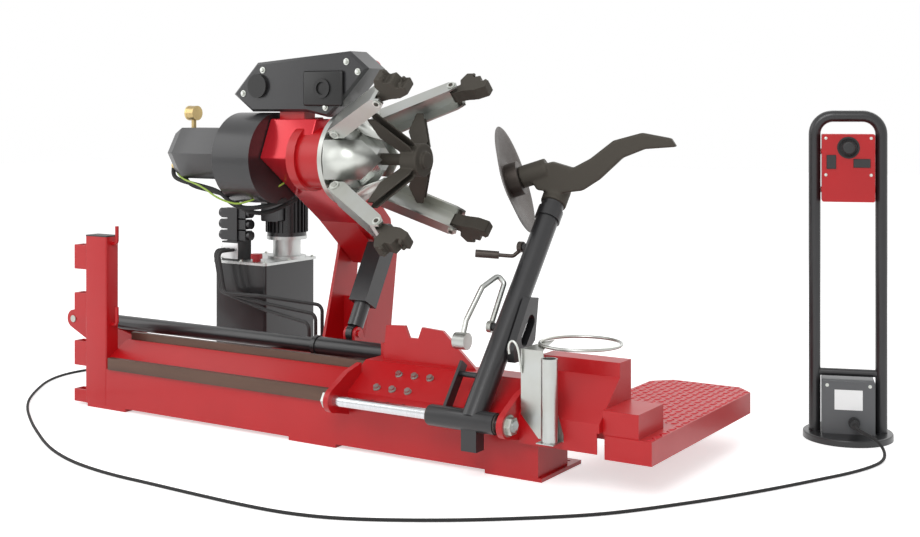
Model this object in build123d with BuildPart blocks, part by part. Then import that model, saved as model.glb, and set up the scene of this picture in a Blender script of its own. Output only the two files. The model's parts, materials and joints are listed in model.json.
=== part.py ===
"""Heavy-duty truck tyre changer: bed with rails, swinging chuck arm, sliding tool carriage, console.

Frame: +X runs along the bed from the chuck to the tool arm, +Y away from the operator, +Z up.
The origin is on the floor, straight below the raised spindle's axis. All sizes are millimetres.
"""
import math
import os

from build123d import *

os.makedirs("parts", exist_ok=True)
pieces = {}


def keep(label, *made):
    """Name a finished piece, or a group of welded or alike ones, and remember it for writing."""
    whole = made[0].part
    if len(made) > 1:
        whole = Compound([solid for piece in made for solid in piece.part.solids()])
    whole.label = label
    pieces[label] = whole


# ---- overall sizes -------------------------------------------------------------------------
bed_left = -980.0
bed_right = 867.0
bed_front = -150.0
bed_back = 40.0
foot_thickness = 12.0
sheet = 6.0
running_gap = 1.0
body_gap = 0.3

# ---- bed and rails -------------------------------------------------------------------------
shoulder_height = 151.0
slope_foot = 188.0
ridge_height = 247.0
ridge_front = -46.0
rail_depth = 20.0
front_rail_height = 44.0
ridge_rail_depth = 18.0
ridge_rail_height = 28.0
rail_seat = bed_front + 10.0

bed_length = bed_right - bed_left
bed_outline = (
    (bed_front, foot_thickness),
    (bed_front, shoulder_height),
    (rail_seat, shoulder_height),
    (rail_seat, slope_foot),
    (ridge_front, ridge_height),
    (bed_back, ridge_height),
    (bed_back, foot_thickness),
)
with BuildPart() as bed_frame:
    with BuildSketch(Plane.YZ.offset(bed_left)):
        with BuildLine():
            Polyline(*bed_outline, close=True)
        make_face()
        offset(amount=-sheet, mode=Mode.SUBTRACT)
    extrude(amount=bed_length)
    for end in (bed_left, bed_right - sheet):
        with BuildSketch(Plane.YZ.offset(end)):
            with BuildLine():
                Polyline(*bed_outline, close=True)
            make_face()
        extrude(amount=sheet)

# Floor plates under the bed: one at each end and one in the middle, drilled for anchors.
plate_length = 200.0
anchor_hole = 7.0
anchor_inset = 30.0
plate_back = bed_back + 70.0
with BuildPart() as floor_plates:
    for left in (bed_left - 100, -plate_length / 2, bed_right - plate_length + 12):
        with BuildSketch(Plane.XY.offset(0)):
            with Locations((left + plate_length / 2, (bed_front + plate_back) / 2)):
                Rectangle(plate_length, plate_back - bed_front)
        extrude(amount=foot_thickness)
    for left in (bed_left - 100, bed_right - plate_length + 12):
        with BuildSketch(Plane.XY.offset(0)):
            with Locations(
                (left + anchor_inset, plate_back - anchor_inset),
                (left + plate_length - anchor_inset, plate_back - anchor_inset),
            ):
                Circle(anchor_hole)
        extrude(amount=foot_thickness, mode=Mode.SUBTRACT)

# Two guide bars: one stands in the step of the front face, the other on the ridge.
rail_left = bed_left + 18.0
rail_length = bed_right - 4.0 - rail_left
front_rail_front = rail_seat - rail_depth
front_rail_top = shoulder_height + front_rail_height
ridge_rail_front = ridge_front + 6.0
ridge_rail_top = ridge_height + ridge_rail_height
with BuildPart() as rails:
    with BuildSketch(Plane.XY.offset(shoulder_height)):
        with Locations((rail_left + rail_length / 2, front_rail_front + rail_depth / 2)):
            Rectangle(rail_length, rail_depth)
    extrude(amount=front_rail_height)
    with BuildSketch(Plane.XY.offset(ridge_height)):
        with Locations((rail_left + rail_length / 2, ridge_rail_front + ridge_rail_depth / 2)):
            Rectangle(rail_length, ridge_rail_depth)
    extrude(amount=ridge_rail_height)
keep("rails", rails)

# ---- tool post at the left end --------------------------------------------------------------
post_x = 112.0
post_y = 62.0
post_height = 632.0
post_wall = 4.0
post_right = bed_left
lug_size = (62.0, 46.0, 92.0)
lug_pitch = 183.0
lug_count = 4
lug_highest = 562.0
post_centre_x = post_right - post_x / 2
post_centre_y = bed_front + post_y / 2
with BuildPart() as tool_post:
    with BuildSketch(Plane.XY.offset(foot_thickness)):
        with Locations((post_centre_x, post_centre_y)):
            RectangleRounded(post_x, post_y, 6)
        offset(amount=-post_wall, mode=Mode.SUBTRACT)
    extrude(amount=post_height)
    for step in range(lug_count):
        middle = lug_highest - step * lug_pitch
        low = max(middle - lug_size[2] / 2, foot_thickness)
        with BuildSketch(Plane.XY.offset(low)):
            with Locations((post_right - post_x - lug_size[0] / 2 + 0.5, post_centre_y - 6)):
                Rectangle(lug_size[0] + 1, lug_size[1])
                Rectangle(lug_size[0] - 14, lug_size[1] - 12, mode=Mode.SUBTRACT)
        extrude(amount=middle + lug_size[2] / 2 - low)
post_top = foot_thickness + post_height
hook_radius = 7.0
for hook_low in (post_top - 26, post_top - 330):
    with BuildPart() as hook:
        with BuildLine():
            FilletPolyline(
                (post_right - 1, post_centre_y, hook_low),
                (post_right + 24, post_centre_y, hook_low),
                (post_right + 24, post_centre_y, hook_low + 66),
                radius=14,
            )
        with BuildSketch(Plane.YZ.offset(post_right - 1)):
            with Locations((post_centre_y, hook_low)):
                Circle(hook_radius)
        sweep()
    with tool_post:
        add(hook.part)
keep("tool_post", tool_post)

cap_thickness = 4.0
with BuildPart() as post_cap:
    with BuildSketch(Plane.XY.offset(post_top)):
        with Locations((post_centre_x, post_centre_y)):
            RectangleRounded(post_x + 2, post_y + 2, 6)
    extrude(amount=cap_thickness)
    with BuildSketch(Plane.XY.offset(post_top - 14)):
        with Locations((post_centre_x, post_centre_y)):
            Rectangle(post_x - 2 * post_wall - 4, post_y - 2 * post_wall - 4)
    extrude(amount=14)
keep("post_cap", post_cap)

# ---- carriage cylinder: anchored by a clevis at the bed's left end ----------------------------
drive_y = 82.0
drive_z = 281.0
rod_tube_radius = 27.0
clevis_pin_x = bed_left - 395.0
clevis_pin_radius = 14.0
ear_thickness = 10.0
ear_gap = 2 * (rod_tube_radius + running_gap)
ear_half_height = 36.0
with BuildPart() as anchor_clevis:
    for near in (drive_y - ear_gap / 2 - ear_thickness, drive_y + ear_gap / 2):
        with BuildSketch(Plane.XZ.offset(-near - ear_thickness)):
            with BuildLine():
                Polyline(
                    (bed_left, 60),
                    (bed_left, 230),
                    (clevis_pin_x + 14, drive_z + ear_half_height * 0.93),
                    (clevis_pin_x - 14, drive_z - ear_half_height * 0.93),
                    close=True,
                )
            make_face()
            with Locations((clevis_pin_x, drive_z)):
                Circle(ear_half_height)
                Circle(clevis_pin_radius + body_gap, mode=Mode.SUBTRACT)
        extrude(amount=ear_thickness)
    with BuildSketch(Plane.YZ.offset(bed_left - 14)):
        with Locations(((bed_back + drive_y + ear_gap) / 2 - 30, 145)):
            Rectangle(drive_y + ear_gap - bed_back + 60, 150)
    extrude(amount=14)
keep("bed_frame", bed_frame, floor_plates, anchor_clevis)

rod_eye_radius = 26.0
rod_end_x = 330.0
with BuildPart() as drive_rod_tube:
    with BuildSketch(Plane.YZ.offset(clevis_pin_x + 22)):
        with Locations((drive_y, drive_z)):
            Circle(rod_tube_radius)
    extrude(amount=rod_end_x - clevis_pin_x - 22)
    with BuildSketch(Plane.XZ.offset(-drive_y)):
        with Locations((clevis_pin_x, drive_z)):
            Circle(rod_eye_radius)
    extrude(amount=ear_gap / 2 - running_gap, both=True)
    with BuildSketch(Plane.XZ.offset(-drive_y)):
        with Locations((clevis_pin_x, drive_z)):
            Circle(clevis_pin_radius + body_gap)
    extrude(amount=60, both=True, mode=Mode.SUBTRACT)
keep("drive_rod_tube", drive_rod_tube)

# ---- cross frame: beam behind the bed and the leaning column that carries the chuck arm --------
spindle_z = 955.0
pivot_y = 425.0
pivot_z = 600.0
beam_left = -270.0
beam_right = -110.0
cheek_thickness = 12.0
cheek_gap = 4.0
pivot_radius = 18.0
cross_left = -430.0
cross_top = 236.0
cross_back = 560.0
cheek_lefts = (beam_left - cheek_gap - cheek_thickness, beam_right + cheek_gap)
rear_bar_back = 700.0
tank_left = -1005.0
with BuildPart() as cross_frame:
    with BuildSketch(Plane.XY.offset(foot_thickness)):
        with Locations(
            (
                (cross_left + cheek_lefts[1] + cheek_thickness) / 2,
                (plate_back + body_gap + cross_back) / 2,
            )
        ):
            Rectangle(
                cheek_lefts[1] + cheek_thickness - cross_left,
                cross_back - plate_back - body_gap,
            )
        offset(amount=-sheet, mode=Mode.SUBTRACT)
    extrude(amount=cross_top - foot_thickness)
    with BuildSketch(Plane.XY.offset(cross_top - 2 * sheet)):
        with Locations(
            (
                (cross_left + cheek_lefts[1] + cheek_thickness) / 2,
                (plate_back + body_gap + cross_back) / 2,
            )
        ):
            Rectangle(
                cheek_lefts[1] + cheek_thickness - cross_left,
                cross_back - plate_back - body_gap,
            )
    extrude(amount=2 * sheet)
    with BuildSketch(Plane.XY.offset(foot_thickness + 40)):
        with Locations(((cross_left + cheek_lefts[1]) / 2, (bed_back + plate_back) / 2 + 1)):
            Rectangle(cheek_lefts[1] - cross_left - 40, plate_back - bed_back + 2)
    extrude(amount=120)
    with BuildSketch(Plane.XY.offset(0)):
        with Locations(((tank_left + cheek_lefts[1]) / 2, (cross_back + rear_bar_back) / 2 - 20)):
            Rectangle(cheek_lefts[1] - tank_left, rear_bar_back - cross_back + 40)
    extrude(amount=60)
    for left in cheek_lefts:
        with BuildSketch(Plane.YZ.offset(left)):
            with BuildLine():
                Polyline(
                    (pivot_y - 165, cross_top - 1),
                    (pivot_y - 60, pivot_z + 4),
                    (pivot_y + 62, pivot_z),
                    (pivot_y + 10, cross_top - 1),
                    close=True,
                )
            make_face()
            with Locations((pivot_y, pivot_z)):
                Circle(62)
                Circle(pivot_radius + body_gap, mode=Mode.SUBTRACT)
        extrude(amount=cheek_thickness)
    with BuildSketch(Plane.XY.offset(cross_top - 1)):
        with Locations(((beam_left + beam_right) / 2, pivot_y - 30)):
            Rectangle(beam_right - beam_left + 2 * cheek_gap, cheek_thickness)
    extrude(amount=180)

# Pins with a washer and head at each end: chuck arm pivot and clevis pin.
head_height = 12.0
with BuildPart() as pivot_pins:
    pin_spans = (
        (Plane.YZ, cheek_lefts[0], cheek_lefts[1] + cheek_thickness, (pivot_y, pivot_z), pivot_radius),
    )
    for base, low, high, centre, radius in pin_spans:
        with BuildSketch(base.offset(low)):
            with Locations(centre):
                Circle(radius)
        extrude(amount=high - low)
        for face, direction in ((low, -1), (high, 1)):
            with BuildSketch(base.offset(face + direction * 0.0)):
                with Locations(centre):
                    Circle(radius * 1.65)
            extrude(amount=direction * 4)
            with BuildSketch(base.offset(face + direction * 4)):
                with Locations(centre):
                    RegularPolygon(radius * 0.95, 6)
            extrude(amount=direction * head_height)
    half = ear_gap / 2 + ear_thickness
    with BuildSketch(Plane.XZ.offset(-drive_y)):
        with Locations((clevis_pin_x, drive_z)):
            Circle(clevis_pin_radius)
    extrude(amount=half + 4, both=True)
keep("pivot_pins", pivot_pins)

# ---- power unit on the rear foot bar ----------------------------------------------------------
tank_width = 270.0
tank_front = 470.0
tank_depth = 320.0
tank_bottom = 60.0
tank_top = 490.0
lid_thickness = 10.0
lid_overhang = 8.0
tank_x = tank_left + tank_width / 2
tank_y = tank_front + tank_depth / 2
lid_top = tank_top + lid_thickness
with BuildPart() as oil_tank:
    with BuildSketch(Plane.XY.offset(tank_bottom)):
        with Locations((tank_x, tank_y)):
            RectangleRounded(tank_width, tank_depth, 12)
        offset(amount=-4, mode=Mode.SUBTRACT)
    extrude(amount=tank_top - tank_bottom)
    with BuildSketch(Plane.XY.offset(tank_bottom)):
        with Locations((tank_x, tank_y)):
            RectangleRounded(tank_width, tank_depth, 12)
    extrude(amount=4)
keep("oil_tank", oil_tank)

with BuildPart() as tank_lid:
    with BuildSketch(Plane.XY.offset(tank_top)):
        with Locations((tank_x, tank_y)):
            RectangleRounded(tank_width + 2 * lid_overhang, tank_depth + 2 * lid_overhang, 14)
    extrude(amount=lid_thickness)
keep("tank_lid", tank_lid)

filler_x = tank_left + 190.0
filler_y = tank_front + 40.0
with BuildPart() as filler_cap:
    with BuildSketch(Plane.XY.offset(lid_top)):
        with Locations((filler_x, filler_y)):
            Circle(17)
    extrude(amount=12)
    with BuildSketch(Plane.XY.offset(lid_top + 12)):
        with Locations((filler_x, filler_y)):
            Circle(24)
    extrude(amount=20)
    fillet(filler_cap.faces().sort_by(Axis.Z)[-1].edges(), 5)
keep("filler_cap", filler_cap)

motor_x = tank_left + 205.0
motor_y = tank_front + 215.0
bell_height = 95.0
motor_radius = 78.0
motor_height = 270.0
fin_count = 28
fin_depth = 12.0
motor_bottom = lid_top + bell_height
with BuildPart() as bell_housing:
    with BuildSketch(Plane.XY.offset(lid_top)):
        with Locations((motor_x, motor_y)):
            Circle(80)
    extrude(amount=12)
    with BuildSketch(Plane.XY.offset(lid_top + 12)):
        with Locations((motor_x, motor_y)):
            Circle(58)
    extrude(amount=bell_height - 26)
    with BuildSketch(Plane.XY.offset(motor_bottom - 14)):
        with Locations((motor_x, motor_y)):
            Circle(84)
    extrude(amount=14)
keep("bell_housing", bell_housing)

with BuildPart() as pump_motor:
    with BuildSketch(Plane.XY.offset(motor_bottom)):
        with Locations((motor_x, motor_y)):
            Circle(motor_radius + 4)
    extrude(amount=16)
    with BuildSketch(Plane.XY.offset(motor_bottom + 16)):
        with Locations((motor_x, motor_y)):
            Circle(motor_radius)
        with Locations((motor_x, motor_y)):
            with PolarLocations(motor_radius + fin_depth / 2 - 1, fin_count):
                Rectangle(fin_depth, 3.5)
    extrude(amount=motor_height - 90)
    with BuildSketch(Plane.XY.offset(motor_bottom + motor_height - 74)):
        with Locations((motor_x, motor_y)):
            Circle(motor_radius + 8)
    extrude(amount=74)
    with BuildSketch(Plane.XZ.offset(-(motor_y - motor_radius - 34))):
        with Locations((motor_x, motor_bottom + 120)):
            RectangleRounded(92, 110, 8)
    extrude(amount=-46)
keep("pump_motor", pump_motor)

valve_x = tank_left + 62.0
valve_y = tank_front + 62.0
valve_size = (86.0, 84.0, 78.0)
coil_radius = 19.0
coil_rows = 3
coil_pitch = 46.0
with BuildPart() as valve_bank:
    with BuildSketch(Plane.XY.offset(lid_top)):
        with Locations((valve_x, valve_y)):
            Rectangle(valve_size[0], valve_size[1])
    extrude(amount=valve_size[2])
    with BuildSketch(Plane.XY.offset(lid_top + valve_size[2])):
        with Locations((valve_x, valve_y)):
            Rectangle(52, 56)
    extrude(amount=coil_rows * coil_pitch)
    for row in range(coil_rows):
        middle = lid_top + valve_size[2] + coil_pitch * (row + 0.5)
        with BuildSketch(Plane.YZ.offset(valve_x - 82)):
            with Locations((valve_y, middle)):
                Circle(coil_radius)
        extrude(amount=164)
        with BuildSketch(Plane.YZ.offset(valve_x - 66)):
            with Locations((valve_y, middle)):
                Rectangle(42, 40)
        extrude(amount=132)
keep("valve_bank", valve_bank)

# Hoses from the front of the valve block, over the lid's edge and down to the cross frame.
hose_radius = 7.0
hose_count = 3
hose_start_z = lid_top + 44
block_front = valve_y - valve_size[1] / 2
with BuildPart() as hydraulic_hoses:
    for turn in range(hose_count):
        start_x = valve_x - 24 + turn * 24
        front = tank_front - 44 - 16 * turn
        end_x = cross_left + 34
        end_y = cross_back - 230 + turn * 40
        with BuildLine():
            hose_path = FilletPolyline(
                (start_x, block_front, hose_start_z),
                (start_x, front, hose_start_z),
                (start_x + 40, front - 6, tank_top - 110),
                (tank_left + tank_width + 60, front - 24, cross_top + 90 + 30 * turn),
                (end_x, end_y, cross_top + 70 + 30 * turn),
                (end_x, end_y, cross_top + body_gap),
                radius=28,
            )
        with BuildSketch(Plane.XZ.offset(-block_front)):
            with Locations((start_x, hose_start_z)):
                Circle(hose_radius)
        sweep(path=hose_path)
keep("hydraulic_hoses", hydraulic_hoses)

# ---- lift cylinder beside the chuck arm --------------------------------------------------------
lift_x = -52.0
lift_foot = (150.0, 325.0)
lift_top = (350.0, 672.0)
lift_barrel_radius = 29.0
lift_sleeve_side = 74.0
lift_rise = 255.0
sleeve_start = 112.0
lift_stroke = 70.0
sleeve_end = 16.0
lift_run = math.dist(lift_foot, lift_top)
lift_y = (lift_top[0] - lift_foot[0]) / lift_run
lift_z = (lift_top[1] - lift_foot[1]) / lift_run
lift_pin_radius = 13.0
lug_width = 26.0


def along_lift(distance):
    """A sketch plane square to the lift cylinder, this far from its lower pin."""
    return Plane(
        origin=(lift_x, lift_foot[0] + lift_y * distance, lift_foot[1] + lift_z * distance),
        x_dir=(1, 0, 0),
        z_dir=(0, lift_y, lift_z),
    )


with BuildPart() as lift_barrel:
    with BuildSketch(Plane.YZ.offset(lift_x - lug_width / 2)):
        with Locations(lift_foot):
            Circle(30)
    extrude(amount=lug_width)
    with BuildSketch(along_lift(24)):
        Circle(lift_barrel_radius)
    extrude(amount=lift_rise - 24)
    with BuildSketch(Plane.YZ.offset(lift_x - 60)):
        with Locations(lift_foot):
            Circle(lift_pin_radius + body_gap)
    extrude(amount=120, mode=Mode.SUBTRACT)
keep("lift_barrel", lift_barrel)

# Two ears and a pin on the cross frame hold the lower end of the barrel.
with BuildPart() as lift_foot_bracket:
    for left in (lift_x - lug_width / 2 - 13, lift_x + lug_width / 2 + 1):
        with BuildSketch(Plane.YZ.offset(left)):
            with BuildLine():
                Polyline(
                    (lift_foot[0] - 24, cross_top),
                    (lift_foot[0] - 24, lift_foot[1]),
                    (lift_foot[0] + 24, lift_foot[1]),
                    (lift_foot[0] + 70, cross_top),
                    close=True,
                )
            make_face()
            with Locations(lift_foot):
                Circle(24)
        extrude(amount=12)
    with BuildSketch(Plane.YZ.offset(lift_x - lug_width / 2 - 19)):
        with Locations(lift_foot):
            Circle(lift_pin_radius)
    extrude(amount=lug_width + 38)
    with BuildSketch(Plane.XY.offset(cross_top - 14)):
        with Locations(((cheek_lefts[1] + cheek_thickness + lift_x + 34) / 2, lift_foot[0] + 23)):
            Rectangle(lift_x + 34 - cheek_lefts[1] - cheek_thickness, 94)
    extrude(amount=14)
keep("cross_frame", cross_frame, lift_foot_bracket)

with BuildPart() as lift_sleeve:
    with BuildSketch(along_lift(sleeve_start)):
        Rectangle(lift_sleeve_side, lift_sleeve_side)
        Circle(lift_barrel_radius + 0.05, mode=Mode.SUBTRACT)
    extrude(amount=lift_rise + lift_stroke - sleeve_start)
    with BuildSketch(along_lift(lift_rise + lift_stroke)):
        Rectangle(lift_sleeve_side, lift_sleeve_side)
    extrude(amount=sleeve_end)
    with BuildSketch(along_lift(lift_rise + lift_stroke + sleeve_end)):
        Rectangle(34, 60)
    extrude(amount=lift_run - lift_rise - lift_stroke - sleeve_end)
    with BuildSketch(Plane.YZ.offset(lift_x - 17)):
        with Locations(lift_top):
            Circle(30)
    extrude(amount=34)
    with BuildSketch(Plane.YZ.offset(lift_x - 60)):
        with Locations(lift_top):
            Circle(lift_pin_radius + 5.0)
    extrude(amount=120, mode=Mode.SUBTRACT)
keep("lift_sleeve", lift_sleeve)

# ---- chuck arm ---------------------------------------------------------------------------------
arm_heel = (440.0, 537.0)
arm_toe = (-48.0, spindle_z)
arm_crown = (50.0, 1095.0)
flange_radius = 118.0
spindle_radius = 40.0
disc_back = 30.0
running_fit = 0.05
arm_across = (arm_crown[0] - arm_toe[0], arm_crown[1] - arm_toe[1])
guard_bottom = 1115.0
with BuildPart() as arm_beam:
    with BuildSketch(Plane.YZ.offset(beam_left)):
        with BuildLine():
            Polyline(
                arm_toe,
                arm_crown,
                (arm_heel[0] + arm_across[0] * 0.86 - 60, arm_heel[1] + arm_across[1] * 0.86 + 52),
                (pivot_y + 58, pivot_z + 10),
                arm_heel,
                close=True,
            )
        make_face()
    extrude(amount=beam_right - beam_left)
    with BuildSketch(Plane.YZ.offset(beam_right - 30)):
        with Locations((0, spindle_z)):
            Circle(flange_radius)
    extrude(amount=36)
    with BuildSketch(Plane.YZ.offset(beam_right + 6)):
        with Locations((0, spindle_z)):
            Circle(flange_radius - 12)
    extrude(amount=disc_back - body_gap - beam_right - 6)
    with BuildSketch(Plane.XY.offset(arm_crown[1] - 60)):
        with Locations(((beam_left + beam_right) / 2, 8)):
            Rectangle(110, 60)
    extrude(amount=guard_bottom - arm_crown[1] + 60)
    with BuildSketch(Plane.YZ.offset(beam_left - 200)):
        with Locations((0, spindle_z)):
            Circle(spindle_radius + running_fit)
    extrude(amount=600, mode=Mode.SUBTRACT)
    with BuildSketch(Plane.YZ.offset(beam_left - 50)):
        with Locations((pivot_y, pivot_z)):
            Circle(pivot_radius + running_fit)
    extrude(amount=400, mode=Mode.SUBTRACT)
    with BuildSketch(Plane.YZ.offset(beam_right - 20)):
        with Locations(lift_top):
            Circle(lift_pin_radius)
    extrude(amount=lift_x + 24 - beam_right + 20)
    with BuildSketch(Plane.YZ.offset(beam_right)):
        with Locations(lift_top):
            Circle(34)
    extrude(amount=lift_x - lift_sleeve_side / 2 - 2 - beam_right)
keep("arm_beam", arm_beam)

casing_radius = 162.0
casing_left = -450.0
with BuildPart() as gearbox_casing:
    with BuildSketch(Plane.YZ.offset(casing_left)):
        with Locations((0, spindle_z - 5)):
            Circle(casing_radius)
    extrude(amount=beam_left - casing_left)
    chamfer(gearbox_casing.faces().sort_by(Axis.X)[0].edges(), 10)
keep("gearbox_casing", gearbox_casing)

cover_left = -732.0
cover_radius = 107.0
cover_z = spindle_z + 8
with BuildPart() as chuck_cylinder_cover:
    with BuildSketch(Plane.YZ.offset(casing_left)):
        with Locations((0, cover_z)):
            RegularPolygon(cover_radius, 6, rotation=0)
    extrude(amount=cover_left + 46 - casing_left)
    with BuildSketch(Plane.YZ.offset(cover_left + 46)):
        with Locations((0, cover_z)):
            RegularPolygon(cover_radius, 6, rotation=0)
    with BuildSketch(Plane.YZ.offset(cover_left)):
        with Locations((0, cover_z)):
            RegularPolygon(cover_radius - 26, 6, rotation=0)
    loft()
keep("chuck_cylinder_cover", chuck_cylinder_cover)

gauge_x = -668.0
gauge_y = -10.0
cover_top = cover_z + cover_radius * math.sqrt(3) / 2
gauge_rise = 34.0
with BuildPart() as pressure_gauge:
    with BuildSketch(Plane.XY.offset(cover_top)):
        with Locations((gauge_x, gauge_y)):
            Circle(9)
    extrude(amount=gauge_rise)
    with BuildSketch(Plane.YZ.offset(gauge_x - 18)):
        with Locations((gauge_y, cover_top + gauge_rise + 20)):
            Circle(27)
    extrude(amount=36)
keep("pressure_gauge", pressure_gauge)

guard_front = -50.0
guard_thickness = 100.0
guard_outline = (
    (-440.0, 1178.0),
    (-330.0, 1289.0),
    (81.0, 1321.0),
    (160.0, 1261.0),
    (29.0, 1130.0),
    (-14.0, 1096.0),
    (beam_right + 4, guard_bottom),
    (-352.0, guard_bottom),
)
with BuildPart() as belt_guard:
    with BuildSketch(Plane.XZ.offset(-guard_front)):
        with BuildLine():
            Polyline(*guard_outline, close=True)
        make_face()
    extrude(amount=-guard_thickness)
    chamfer(belt_guard.faces().sort_by(Axis.Y)[0].edges(), 9)
keep("belt_guard", belt_guard)

motor_axis = (-205.0, 1203.0)
with BuildPart() as spindle_motor:
    with BuildSketch(Plane.XZ.offset(-(guard_front + guard_thickness))):
        with Locations(motor_axis):
            Circle(76)
    extrude(amount=-230)
    fillet(spindle_motor.faces().sort_by(Axis.Y)[-1].edges(), 18)
keep("spindle_motor", spindle_motor)

hoop_x = -50.0
hoop_radius = 8.0
with BuildPart() as guard_rod:
    with BuildLine() as hoop_path:
        FilletPolyline(
            (beam_right, 132, 1000),
            (hoop_x, 132, 1000),
            (hoop_x, 140, 1180),
            (hoop_x, 215, 1290),
            (hoop_x, 300, 1296),
            (hoop_x, 330, 1226),
            radius=30,
        )
    with BuildSketch(Plane.YZ.offset(beam_right)):
        with Locations((132, 1000)):
            Circle(hoop_radius)
    sweep(path=hoop_path.wires()[0])
keep("guard_rod", guard_rod)

# ---- chuck -------------------------------------------------------------------------------------
disc_radius = 160.0
disc_thickness = 18.0
jaw_count = 4
hinge_x = 95.0
hinge_r = 165.0
jaw_pin_radius = 10.0
tip_x = 340.0
tip_r = 308.0
jaw_run = math.hypot(tip_x - hinge_x, tip_r - hinge_r)
ux = (tip_x - hinge_x) / jaw_run
ur = (tip_r - hinge_r) / jaw_run
lug_half = 30.0
disc_front = disc_back + disc_thickness
rod_radius = 20.0
hub_tip = 188.0
jaw_angles = [45 + 360 / jaw_count * turn for turn in range(jaw_count)]


def jaw_plane(angle, across):
    """The plane of one jaw: its first axis is +X, its second points away from the spindle."""
    turn = math.radians(angle)
    outward = Vector(0, -math.sin(turn), math.cos(turn))
    sideways = Vector(1, 0, 0).cross(outward)
    return Plane(
        origin=Vector(0, 0, spindle_z) + sideways * across,
        x_dir=(1, 0, 0),
        z_dir=sideways,
    )


def from_hinge(along, outward):
    """A point (x, radius) measured from the jaw hinge along the jaw and square to it."""
    return (hinge_x + ux * along - ur * outward, hinge_r + ur * along + ux * outward)


with BuildPart() as chuck_disc:
    with BuildSketch(Plane.YZ.offset(disc_back)):
        with Locations((0, spindle_z)):
            Circle(disc_radius)
    extrude(amount=disc_thickness)
    with BuildSketch(Plane.YZ.offset(beam_left + 20)):
        with Locations((0, spindle_z)):
            Circle(spindle_radius)
    extrude(amount=disc_back - beam_left - 20)
    for angle in jaw_angles:
        with BuildSketch(jaw_plane(angle, -lug_half)):
            with BuildLine():
                Polyline(
                    (disc_front - 1, 122),
                    (disc_front - 1, 146),
                    from_hinge(-6, 13),
                    from_hinge(6, -13),
                    close=True,
                )
            make_face()
            with Locations((hinge_x, hinge_r)):
                Circle(14)
        extrude(amount=2 * lug_half)
        with BuildSketch(jaw_plane(angle, -52)):
            with Locations((hinge_x, hinge_r)):
                Circle(jaw_pin_radius)
        extrude(amount=104)
keep("chuck_disc", chuck_disc)

with BuildPart() as hub_cover:
    with BuildSketch(Plane.YZ.offset(disc_front)):
        with Locations((0, spindle_z)):
            RegularPolygon(118, 8, rotation=22.5)
    with BuildSketch(Plane.YZ.offset(128)):
        with Locations((0, spindle_z)):
            RegularPolygon(98, 8, rotation=22.5)
    loft()
    with BuildSketch(Plane.YZ.offset(128)):
        with Locations((0, spindle_z)):
            RegularPolygon(98, 8, rotation=22.5)
    with BuildSketch(Plane.YZ.offset(hub_tip)):
        with Locations((0, spindle_z)):
            RegularPolygon(40, 8, rotation=22.5)
    loft()
    with BuildSketch(Plane.YZ.offset(disc_front + 12)):
        with Locations((0, spindle_z)):
            Circle(rod_radius + running_fit)
    extrude(amount=200, mode=Mode.SUBTRACT)
keep("hub_cover", hub_cover)

head_left = 290.0
head_right = 355.0
blade_reach = 205.0
with BuildPart() as crosshead:
    with BuildSketch(Plane.YZ.offset(disc_front + 50)):
        with Locations((0, spindle_z)):
            Circle(rod_radius)
    extrude(amount=head_left - disc_front - 50)
    with BuildSketch(Plane.YZ.offset(head_left)):
        with Locations((0, spindle_z)):
            Circle(56)
    extrude(amount=head_right - head_left)
    with BuildSketch(Plane.YZ.offset(head_right)):
        with Locations((0, spindle_z)):
            Circle(28)
    extrude(amount=14)
    for angle in jaw_angles:
        for side in (-16, 10):
            with BuildSketch(jaw_plane(angle, side)):
                with BuildLine():
                    Polyline(
                        (head_left - 50, 118),
                        (head_left - 58, blade_reach),
                        (head_left - 30, blade_reach),
                        (head_left + 50, 74),
                        (head_left + 50, 40),
                        (head_left + 8, 40),
                        close=True,
                    )
                make_face()
            extrude(amount=6)
keep("crosshead", crosshead)

# Each jaw: a U-shaped arm open towards the spindle, with a stepped claw pinned in its end.
jaw_half = 45.0
web_thickness = 8.0
cheek_wall = 7.0
claw_half = 24.0
claw_pin_radius = 8.0
claw_outline = (
    (0, -15),
    (0, 15),
    (28, 15),
    (30, 40),
    (58, 62),
    (80, 50),
    (76, 30),
    (104, 22),
    (100, -6),
    (128, -18),
    (112, -44),
    (70, -40),
    (30, -22),
)
for number, angle in enumerate(jaw_angles, start=1):
    with BuildPart() as jaw_arm:
        with BuildSketch(jaw_plane(angle, -jaw_half)):
            with BuildLine():
                Polyline(
                    from_hinge(-12, 24),
                    from_hinge(jaw_run - 8, 24),
                    from_hinge(jaw_run + 18, 6),
                    from_hinge(jaw_run + 18, -14),
                    from_hinge(jaw_run - 14, -24),
                    from_hinge(16, -30),
                    from_hinge(-12, -14),
                    close=True,
                )
            make_face()
        extrude(amount=2 * jaw_half)
        with BuildSketch(jaw_plane(angle, -jaw_half + cheek_wall)):
            with BuildLine():
                Polyline(
                    from_hinge(-60, 24 - web_thickness),
                    from_hinge(jaw_run + 60, 24 - web_thickness),
                    from_hinge(jaw_run + 60, -70),
                    from_hinge(-60, -70),
                    close=True,
                )
            make_face()
        extrude(amount=2 * (jaw_half - cheek_wall), mode=Mode.SUBTRACT)
        with BuildSketch(jaw_plane(angle, -60)):
            with Locations((hinge_x, hinge_r)):
                Circle(jaw_pin_radius + running_fit)
            with Locations((tip_x, tip_r)):
                Circle(claw_pin_radius + body_gap)
        extrude(amount=120, mode=Mode.SUBTRACT)
    keep(f"jaw_arm_{number}", jaw_arm)
    with BuildPart() as claw:
        with BuildSketch(jaw_plane(angle, -claw_half)):
            with BuildLine():
                Polyline(*[from_hinge(jaw_run + a, b) for a, b in claw_outline], close=True)
            make_face()
            with Locations((tip_x, tip_r)):
                Circle(15)
        extrude(amount=2 * claw_half)
        with BuildSketch(jaw_plane(angle, -52)):
            with Locations((tip_x, tip_r)):
                Circle(claw_pin_radius)
        extrude(amount=104)
    keep(f"claw_{number}", claw)

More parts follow.
